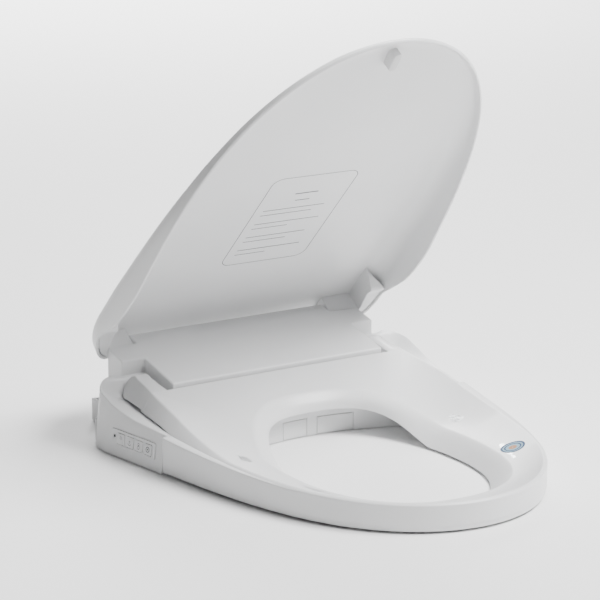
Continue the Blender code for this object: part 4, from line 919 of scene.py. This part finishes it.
def lay(obj, target, lift):
    """Drops a flat print straight down on to a surface and keeps it a hair above."""
    made = obj.modifiers.new("laid", "SHRINKWRAP")
    made.target = target
    made.wrap_method = "PROJECT"
    made.use_project_z = True
    made.use_negative_direction, made.use_positive_direction = True, False
    made.offset = lift
    bpy.context.view_layer.update()
    shaped = bpy.data.meshes.new_from_object(obj.evaluated_get(bpy.context.evaluated_depsgraph_get()))
    obj.modifiers.remove(made)
    obj.data = shaped


def band(outline, width, z=0.0):
    """A closed outline as a flat line of some width."""
    outline = np.asarray(outline, float)
    normal = outline_normals(outline)
    rails = [line(*(outline + normal * w).T, z) for w in (-width / 2, width / 2)]
    return sheet(np.array(rails), wrap_v=True)


def disc(radius, centre, z, count=40):
    """A flat disc made of a few rings, so that it can follow a curved face."""
    turn = np.linspace(0.0, 2 * math.pi, count, endpoint=False)
    r = np.linspace(0.02, 1.0, 5)[:, None] * radius
    return sheet(line(centre[0] + r * np.cos(turn), centre[1] + r * np.sin(turn), z), wrap_v=True)


# ---- controls ------------------------------------------------------------------------------------
class BidetSizes(bpy.types.PropertyGroup):
    """Sizes of the visible details."""
    key_pitch: bpy.props.FloatProperty(
        name="Key pitch", description="Distance between neighbouring keys", default=0.0145, unit="LENGTH")
    key_long: bpy.props.FloatProperty(
        name="Key length", description="Length of one key along the panel", default=0.0115, unit="LENGTH")
    key_high: bpy.props.FloatProperty(
        name="Key height", description="Height of one key", default=0.0105, unit="LENGTH")
    cover_soft: bpy.props.FloatProperty(
        name="Cover edge", description="Rounding of the top cover's edges", default=0.0020, unit="LENGTH")
    lid_wall: bpy.props.FloatProperty(
        name="Lid wall", description="Thickness of the lid's wall", default=0.003, unit="LENGTH")
    sticker: bpy.props.FloatProperty(
        name="Sticker radius", description="Radius of the round sticker on the seat", default=0.0118,
        unit="LENGTH")
    label_wide: bpy.props.FloatProperty(
        name="Label width", description="Width of the outline printed inside the lid", default=0.098,
        unit="LENGTH")
    label_long: bpy.props.FloatProperty(
        name="Label length", description="Length of that outline along the lid", default=0.150,
        unit="LENGTH")
    outlet_radius: bpy.props.FloatProperty(
        name="Inlet radius", description="Outer radius of the water inlet's thread", default=0.008,
        unit="LENGTH")


def colour_property(label, slot):
    """A colour for the panel, starting from the finish's own."""
    return bpy.props.FloatVectorProperty(
        name=label, description=f"Colour of the {label.lower()}", subtype="COLOR", size=3,
        min=0.0, max=1.0, default=FINISHES[slot][0])


class BidetColours(bpy.types.PropertyGroup):
    """Colours of the finishes."""
    white_gloss: colour_property("Glossy white casing", "white_gloss")
    white_satin: colour_property("Satin white parts", "white_satin")
    grey_plastic: colour_property("Grey inner parts", "grey_plastic")
    dark_plastic: colour_property("Dark inner parts", "dark_plastic")
    soft_pad: colour_property("Soft pads", "soft_pad")
    circuit: colour_property("Circuit boards", "circuit")
    steel: colour_property("Steel parts", "steel")
    brass: colour_property("Plated brass", "brass")
    hose: colour_property("Hoses", "hose")
    foil: colour_property("Heating foil", "foil")
    carbon: colour_property("Carbon filter", "carbon")
    lens: colour_property("Indicator lens", "lens")
    print_grey: colour_property("Printed lines", "print_grey")
    print_blue: colour_property("Sticker's rings", "print_blue")
    print_pale: colour_property("Sticker's ground", "print_pale")
    print_sand: colour_property("Sticker's middle", "print_sand")


class BIDET_OT_finishes(bpy.types.Operator):
    """Make every finish, and give each part kept from the frame the finish of its slot"""
    bl_idname = "bidet.finishes"
    bl_label = "Finishes"

    def execute(self, context):
        colours = context.scene.bidet_colours
        moulded_group()
        for name, (_, _, *rest) in FINISHES.items():
            base = np.array(getattr(colours, name))
            ratio = np.array(FINISHES[name][1]) / np.array(FINISHES[name][0])
            skin(name, base.tolist(), np.clip(base * ratio, 0, 1).tolist(), *rest)
        for part in frame["nodes"].values():
            for holder in part.material_slots:
                holder.material = bpy.data.materials[finish_name(holder.material.name.split(".")[0])]
        return {"FINISHED"}


class BIDET_OT_seat(bpy.types.Operator):
    """Build the seat: dished ring, front skirt and two hinge arms"""
    bl_idname = "bidet.seat"
    bl_label = "Seat"

    def execute(self, context):
        shapes = both(seat_ring()) + both(seat_belt()) + both(seat_arm_shape())
        put("seat_shell", shapes, "white_gloss", "seat", ["seat_top_shell"], smooth=40)
        return {"FINISHED"}


class BIDET_OT_seat_plate(bpy.types.Operator):
    """Build the flat plate under the ring, a horseshoe open at the back"""
    bl_idname = "bidet.seat_plate"
    bl_label = "Seat underside"

    def execute(self, context):
        foot, _ = seat_boundary()
        foot = foot[:104]  # the front and flanks, up to just before the seam
        way = foot[:, :2] - np.array([0.0, HOLE_MIDDLE])
        size = np.hypot(way[:, 0], way[:, 1])
        way = way / size[:, None]
        out = way * (size - 0.0040)[:, None] + np.array([0.0, HOLE_MIDDLE])
        in_x, in_y = opening_point(way[:, 0], way[:, 1], 0.013)
        low, high = 0.0045, 0.0063
        rails = [line(in_x, in_y, low), line(*out.T, low), line(*out.T, high), line(in_x, in_y, high)]
        put("seat_underside", both(bar(rails, 0.0006, caps="last")), "white_satin", "seat",
            ["seat_base_plate"])
        return {"FINISHED"}


class BIDET_OT_seat_pads(bpy.types.Operator):
    """Build the seat's four round bumpers"""
    bl_idname = "bidet.seat_pads"
    bl_label = "Seat bumpers"

    def execute(self, context):
        for end in ("front", "rear"):
            for side in ("left", "right"):
                name = f"seat_bumper_{end}_{side}"
                low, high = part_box(name)
                r, middle = (high.x - low.x) / 2, (low + high) / 2
                shape = slab(ellipse(r, r, (middle.x, middle.y)),
                             soft_levels(low.z, high.z, 0.0006, foot=0.0014))
                put(f"{name}_pad", [shape], "soft_pad", "seat", [name])
        return {"FINISHED"}


class BIDET_OT_lid(bpy.types.Operator):
    """Build the lid: a dished shell with a deep rim and two hinge arms"""
    bl_idname = "bidet.lid"
    bl_label = "Lid"

    def execute(self, context):
        shapes = lid_shapes(context.scene.bidet_sizes.lid_wall)
        put("lid_cover", shapes, "white_gloss", "lid", ["lid_shell"], smooth=40, matrix=lid_turn())
        return {"FINISHED"}


class BIDET_OT_lid_pads(bpy.types.Operator):
    """Build the lid's bumper, a long pad near the tip"""
    bl_idname = "bidet.lid_pads"
    bl_label = "Lid bumper"

    def execute(self, context):
        name = "lid_bumper_front"
        part = frame["nodes"][name]
        corners = np.empty(3 * len(part.data.vertices))
        part.data.vertices.foreach_get("co", corners)
        corners, _ = moved((corners.reshape(-1, 3), []), lid_turn().inverted() @ part.matrix_world)
        low, high = corners.min(axis=0), corners.max(axis=0)
        outline = rectangle(0.0095, 0.0215, 0.0047, tuple((low + high)[:2] / 2), arc=10)
        shape = slab(outline, soft_levels(low[2], high[2] + 0.002, 0.0005, foot=0.0016, steps=6))
        put(f"{name}_pad", [shape], "soft_pad", "lid", [name], matrix=lid_turn())
        return {"FINISHED"}


class BIDET_OT_casing(bpy.types.Operator):
    """Build the unit's casing: two side lobes, bowed front wall, deck, step and rear body"""
    bl_idname = "bidet.casing"
    bl_label = "Casing"

    def execute(self, context):
        shapes = both(lobe_shape())
        inner = EAR_HALF - 0.031
        (door_low, door_high), (flap_low, flap_high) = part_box("nozzle_door"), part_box("dryer_flap")
        cuts = [(low.x - SHADOW_GAP, high.x + SHADOW_GAP)
                for low, high in ((door_low, door_high), (flap_low, flap_high))]
        head, foot = door_high.z + SHADOW_GAP, door_low.z - SHADOW_GAP
        spans = [(-inner, cuts[0][0]), (cuts[0][1], cuts[1][0]), (cuts[1][1], inner)]
        shapes += [wall_panel(low, high, FLOOR_GAP, WALL_TOP, count=18) for low, high in spans]
        for low, high in cuts:
            shapes.append(wall_panel(low - 0.001, high + 0.001, head, WALL_TOP, count=8))
            shapes.append(wall_panel(low - 0.001, high + 0.001, FLOOR_GAP, foot, count=8))
        x = np.linspace(-inner, inner, 40)
        edge, back = wall_y(x) + 0.0006, HUMP_FRONT + 0.010
        deck = [line(x, edge, DECK_FOOT), line(x, edge, DECK), line(x, back, DECK), line(x, back, DECK_FOOT)]
        shapes.append(bar(deck, 0.0008))
        put("unit_casing", shapes, "white_gloss", "unit", ["base_shell"], smooth=38)
        step = stepped([-inner, inner], [HUMP_FRONT + 0.0004, HUMP_FRONT + 0.0030], [(0, 0)],
                       lambda y: 0.0 * y + DECK - 0.001, lambda y: 0.0 * y + 0.041)
        soften(put("front_step", [step], "white_gloss", "unit"), 0.0006, segments=2)
        outline = rectangle(2 * (EAR_HALF - 0.002), 0.066, 0.018, (0.0, 0.0020), arc=10)
        put("rear_casing", [slab(outline, soft_levels(FLOOR_GAP, 0.0440, 0.0016, foot=0.0010))],
            "white_gloss", "unit")
        return {"FINISHED"}


class BIDET_OT_cover(bpy.types.Operator):
    """Build the top cover, an H in plan with softly rounded edges"""
    bl_idname = "bidet.cover"
    bl_label = "Top cover"

    def execute(self, context):
        made = put("unit_cover", [cover_shape()], "white_gloss", "unit", ["top_cover"], smooth=60)
        soften(made, context.scene.bidet_sizes.cover_soft, segments=5)
        return {"FINISHED"}


class BIDET_OT_rear_cover(bpy.types.Operator):
    """Build the rear cover, a low rounded block behind the unit"""
    bl_idname = "bidet.rear_cover"
    bl_label = "Rear cover"

    def execute(self, context):
        low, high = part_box("rear_cover")
        inner, outer, wall, top = EAR_HALF - 0.0017, EAR_HALF + 0.0008, 0.0035, 0.024
        near, lip = low.y, low.y + 0.003
        plan = np.array([(-high.x, near), (-inner, near), (-inner, high.y - wall), (inner, high.y - wall),
                         (inner, near), (high.x, near), (high.x, lip), (outer, lip), (outer, high.y),
                         (-outer, high.y), (-outer, lip), (-high.x, lip)])
        rings = np.array([line(*plan.T, z) for z in (low.z, top)])
        made = put("unit_rear", [sheet(rings, wrap_v=True, caps=True)], "white_satin", "unit",
                   ["rear_cover"])
        soften(made, 0.0011, segments=3)
        return {"FINISHED"}


class BIDET_OT_bezel(bpy.types.Operator):
    """Build the control panel's bezel with a window for every key and the lamp"""
    bl_idname = "bidet.bezel"
    bl_label = "Bezel"

    def execute(self, context):
        sizes = context.scene.bidet_sizes
        holes = [rectangle(sizes.key_long + 0.0008, sizes.key_high + 0.0008, 0.0012,
                           (key_spot(i, sizes), 0.0), arc=4) for i in range(4)]
        holes.append(ellipse(0.0017, 0.0017, (lamp_spot(sizes), 0.001), 20))
        plate = framed(rectangle(PANEL_LONG, PANEL_HIGH, 0.0022, arc=6), holes,
                       [(0.0, -0.0030), (0.0, 0.0009), (0.0002, 0.0013), (0.0006, 0.0014)])
        put("panel_bezel", [plate], "white_satin", "unit", ["control_bezel"],
            matrix=panel_frame() @ TO_FACE)
        return {"FINISHED"}


class BIDET_OT_keys(bpy.types.Operator):
    """Build the four keys, each with a generic symbol"""
    bl_idname = "bidet.keys"
    bl_label = "Keys"

    def execute(self, context):
        sizes = context.scene.bidet_sizes
        place = panel_frame() @ TO_FACE
        for i in range(4):
            outline = rectangle(sizes.key_long, sizes.key_high, 0.0010, (key_spot(i, sizes), 0.0), arc=4)
            put(f"key_{i + 1}_cap", [slab(outline, soft_levels(-0.0028, 0.0020, 0.0005))], "white_satin",
                f"key_{i + 1}", [f"button_{i + 1}"], matrix=place)
            mark = put(f"key_{i + 1}_mark", key_mark(i, (key_spot(i, sizes), 0.0), 0.00204), "print_grey",
                       f"key_{i + 1}", matrix=place)
        return {"FINISHED"}


class BIDET_OT_lamp(bpy.types.Operator):
    """Build the indicator lens, a small smoked dome"""
    bl_idname = "bidet.lamp"
    bl_label = "Indicator lens"

    def execute(self, context):
        lamp = lamp_spot(context.scene.bidet_sizes)
        a = np.linspace(0.0, math.pi / 2, 7)
        dome = np.column_stack([0.0014 * np.cos(a), 0.0010 + 0.0006 * np.sin(a)])
        profile = np.concatenate([[[0.0014, -0.0028]], dome[:-1], [[0.0001, 0.0016]]])
        shape = turned(profile, Matrix.Translation((lamp, 0.001, 0.0)), 24)
        put("lamp_lens", [shape], "lens", "unit", ["indicator_lens"], matrix=panel_frame() @ TO_FACE)
        return {"FINISHED"}


class BIDET_OT_doors(bpy.types.Operator):
    """Build the nozzle's door and the dryer's flap, bowed like the wall they close"""
    bl_idname = "bidet.doors"
    bl_label = "Nozzle door and dryer flap"

    def execute(self, context):
        for name, body in (("nozzle_door", "door"), ("dryer_flap", "flap")):
            low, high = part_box(name)
            shape = wall_panel(low.x + 0.0001, high.x - 0.0001, low.z, high.z, depth=0.0018,
                               soft=0.0006, count=10)
            put(f"{name}_plate", [shape], "white_gloss", body, [name])
        return {"FINISHED"}


class BIDET_OT_nozzle(bpy.types.Operator):
    """Mark the wand's spray holes near its tip as small dark studs: painted shade standing in for the holes'
    hollow insides, as no hole is cut
    """
    bl_idname = "bidet.nozzle"
    bl_label = "Spray holes"

    def execute(self, context):
        way, side = Vector(NOZZLE_WAY), Vector((1.0, 0.0, 0.0))
        low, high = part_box("spray_nozzle")
        up = side.cross(way)
        tip = Vector(((low.x + high.x) / 2, *NOZZLE_TIP))
        shapes = []
        for along_it, across in SPRAY_HOLES:
            spot = tip + way * along_it + side * across + up * 0.0039
            place = Matrix.Translation(spot) @ up.to_track_quat("Z", "Y").to_matrix().to_4x4()
            shapes.append(turned([[0.0005, -0.0004], [0.0005, 0.00015], [0.0003, 0.0002]], place, 14))
        # the dark plastic studs are painted shade where the spray holes' hollows would be
        put("spray_hole_painted_shade", shapes, "dark_plastic", "nozzle")
        return {"FINISHED"}


class BIDET_OT_outlets(bpy.types.Operator):
    """Build the threaded water inlet with its hexagon, and the cable gland"""
    bl_idname = "bidet.outlets"
    bl_label = "Water inlet and cable gland"

    def execute(self, context):
        radius = context.scene.bidet_sizes.outlet_radius
        low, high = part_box("water_inlet")
        middle = (low + high) / 2
        place, length = along((low.x, middle.y, middle.z), (high.x, middle.y, middle.z))
        z = np.linspace(length - 0.014, length - 0.0006, 80)
        thread = radius - 0.0004 - 0.0003 * (1 - np.cos(2 * math.pi * z / 0.0014))
        body = np.concatenate([[[radius - 0.0012, 0.0]], [[radius - 0.0012, length - 0.0145]],
                               np.column_stack([thread, z]), [[radius - 0.0012, length]],
                               [[radius - 0.0030, length]], [[radius - 0.0034, length - 0.006]]])
        hexagon = slab(ellipse(radius + 0.0008, radius + 0.0008, count=6),
                       soft_levels(0.010, 0.0155, 0.0006, foot=0.0006))
        put("inlet_thread", [turned(body, place, 48), moved(hexagon, place)], "brass", "unit",
            ["water_inlet"])
        low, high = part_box("power_gland")
        middle = (low + high) / 2
        place, length = along((middle.x, low.y, middle.z), (middle.x, high.y, middle.z))
        r = (high.x - low.x) / 2
        z = np.linspace(length * 0.45, length - 0.001, 60)
        rib = r - 0.0007 + 0.0004 * np.cos(2 * math.pi * z / 0.0022)
        body = np.concatenate([[[r, 0.0]], [[r, length * 0.4]], np.column_stack([rib, z]),
                               [[r - 0.0018, length]], [[r - 0.0030, length - 0.002]]])
        put("gland_sleeve", [turned(body, place, 40)], "dark_plastic", "unit", ["power_gland"])
        return {"FINISHED"}


class BIDET_OT_prints(bpy.types.Operator):
    """Lay the generic prints: a round sticker on the seat, an outline with rules inside the lid"""
    bl_idname = "bidet.prints"
    bl_label = "Generic prints"

    def execute(self, context):
        sizes = context.scene.bidet_sizes
        seat = bpy.data.objects["seat_shell"]
        r, centre, z = sizes.sticker, STICKER_SPOT, STICKER_DROP
        rings = [ring_mark(r * 0.92, r * 0.16, centre, z, count=61),
                 ring_mark(r * 0.64, r * 0.12, centre, z, count=61)]
        middle = [ring_mark(r * 0.20, r * 0.28, centre, z, count=41)]
        for name, shapes, slot, lift in (
                ("sticker_ground", [disc(r, centre, z)], "print_pale", 0.00012),
                ("sticker_rings", rings, "print_blue", 0.00020),
                ("sticker_middle", middle, "print_sand", 0.00020)):
            made = put(name, shapes, slot, "seat")
            lay(made, seat, lift)
        wide, middle_y = sizes.label_wide, LABEL_FRONT + sizes.label_long / 2
        outline = rectangle(wide, sizes.label_long, 0.011, (0.0, middle_y), arc=9)
        shapes = [band(outline, 0.0007)]
        for down, part, thick in LABEL_RULES:
            y = LABEL_FRONT + down
            left = -wide * 0.40 if down > 0.05 else -wide * part / 2
            shapes.append(bar_mark((left, y), (left + wide * part, y), thick, 0.0))
        made = put("lid_label", draped(shapes, -0.00012), "print_grey", "lid", matrix=lid_turn())
        return {"FINISHED"}


class BIDET_OT_stage(bpy.types.Operator):
    """Lay the floor, light it softly and place the camera"""
    bl_idname = "bidet.stage"
    bl_label = "Stage"

    def execute(self, context):
        turn = np.linspace(0.0, 2 * math.pi, 64, endpoint=False)
        floor = bpy.data.meshes.new("floor")
        rim = line(12 * np.cos(turn), 12 * np.sin(turn), -0.0002)
        floor.from_pydata(rim.tolist(), [], [list(range(len(turn)))])
        ground = bpy.data.objects.new("floor", floor)
        context.scene.collection.objects.link(ground)
        pale = bpy.data.materials.new("pale_floor")
        pale.use_nodes = True
        shader = pale.node_tree.nodes["Principled BSDF"]
        shader.inputs["Base Color"].default_value = (0.95, 0.95, 0.95, 1)
        shader.inputs["Roughness"].default_value = 0.6
        floor.materials.append(pale)
        world = bpy.data.worlds.new("studio")
        world.use_nodes = True
        sky = world.node_tree.nodes["Background"]
        sky.inputs["Color"].default_value = (1.0, 1.0, 1.0, 1)
        sky.inputs["Strength"].default_value = 0.22
        context.scene.world = world
        for name, spot, aim, size, power in LIGHTS:
            lamp = bpy.data.lights.new(name, "AREA")
            lamp.shape = "SQUARE"
            lamp.size = size
            lamp.energy = power
            obj = bpy.data.objects.new(name, lamp)
            context.scene.collection.objects.link(obj)
            way = Vector(aim) - Vector(spot)
            obj.matrix_world = Matrix.Translation(spot) @ way.to_track_quat("-Z", "Y").to_matrix().to_4x4()
        lens = bpy.data.cameras.new("camera")
        lens.sensor_width, lens.lens = 36.0, 150.0
        eye = bpy.data.objects.new("camera", lens)
        context.scene.collection.objects.link(eye)
        swing, lift = math.radians(CAMERA_SWING), math.radians(CAMERA_LIFT)
        back = Vector((math.sin(swing) * math.cos(lift), -math.cos(swing) * math.cos(lift), math.sin(lift)))
        right = Vector((math.cos(swing), math.sin(swing), 0.0))
        up = back.cross(right)
        rows = [[right[i], up[i], back[i], CAMERA_SPOT[i]] for i in range(3)]
        eye.matrix_world = Matrix(rows + [[0, 0, 0, 1]])
        context.scene.camera = eye
        return {"FINISHED"}


OPERATORS = (BIDET_OT_finishes, BIDET_OT_seat, BIDET_OT_seat_plate, BIDET_OT_seat_pads,
             BIDET_OT_lid, BIDET_OT_lid_pads, BIDET_OT_casing, BIDET_OT_cover, BIDET_OT_rear_cover,
             BIDET_OT_bezel, BIDET_OT_keys, BIDET_OT_lamp, BIDET_OT_doors, BIDET_OT_nozzle,
             BIDET_OT_outlets, BIDET_OT_prints, BIDET_OT_stage)


class BIDET_PT_panel(bpy.types.Panel):
    """The bidet seat's pieces, sizes and colours in the sidebar"""
    bl_idname = "BIDET_PT_panel"
    bl_label = "Electric Bidet Seat"
    bl_space_type = "VIEW_3D"
    bl_region_type = "UI"
    bl_category = "Bidet Seat"

    def draw(self, context):
        column = self.layout.column(align=True)
        for operator in OPERATORS:
            column.operator(operator.bl_idname)
        for group in (context.scene.bidet_sizes, context.scene.bidet_colours):
            box = self.layout.box()
            for name in group.__annotations__:
                box.prop(group, name)


def register():
    for kind in (BidetSizes, BidetColours, *OPERATORS, BIDET_PT_panel):
        bpy.utils.register_class(kind)
    bpy.types.Scene.bidet_sizes = bpy.props.PointerProperty(type=BidetSizes)
    bpy.types.Scene.bidet_colours = bpy.props.PointerProperty(type=BidetColours)


def unregister():
    del bpy.types.Scene.bidet_sizes, bpy.types.Scene.bidet_colours
    for kind in reversed((BidetSizes, BidetColours, *OPERATORS, BIDET_PT_panel)):
        bpy.utils.unregister_class(kind)


def main():
    register()
    for operator in OPERATORS:
        group, name = operator.bl_idname.split(".")
        if getattr(getattr(bpy.ops, group), name)() != {"FINISHED"}:
            raise RuntimeError(f"{operator.bl_idname} did not finish.")
    bpy.context.view_layer.update()


if __name__ == "__main__":
    main()
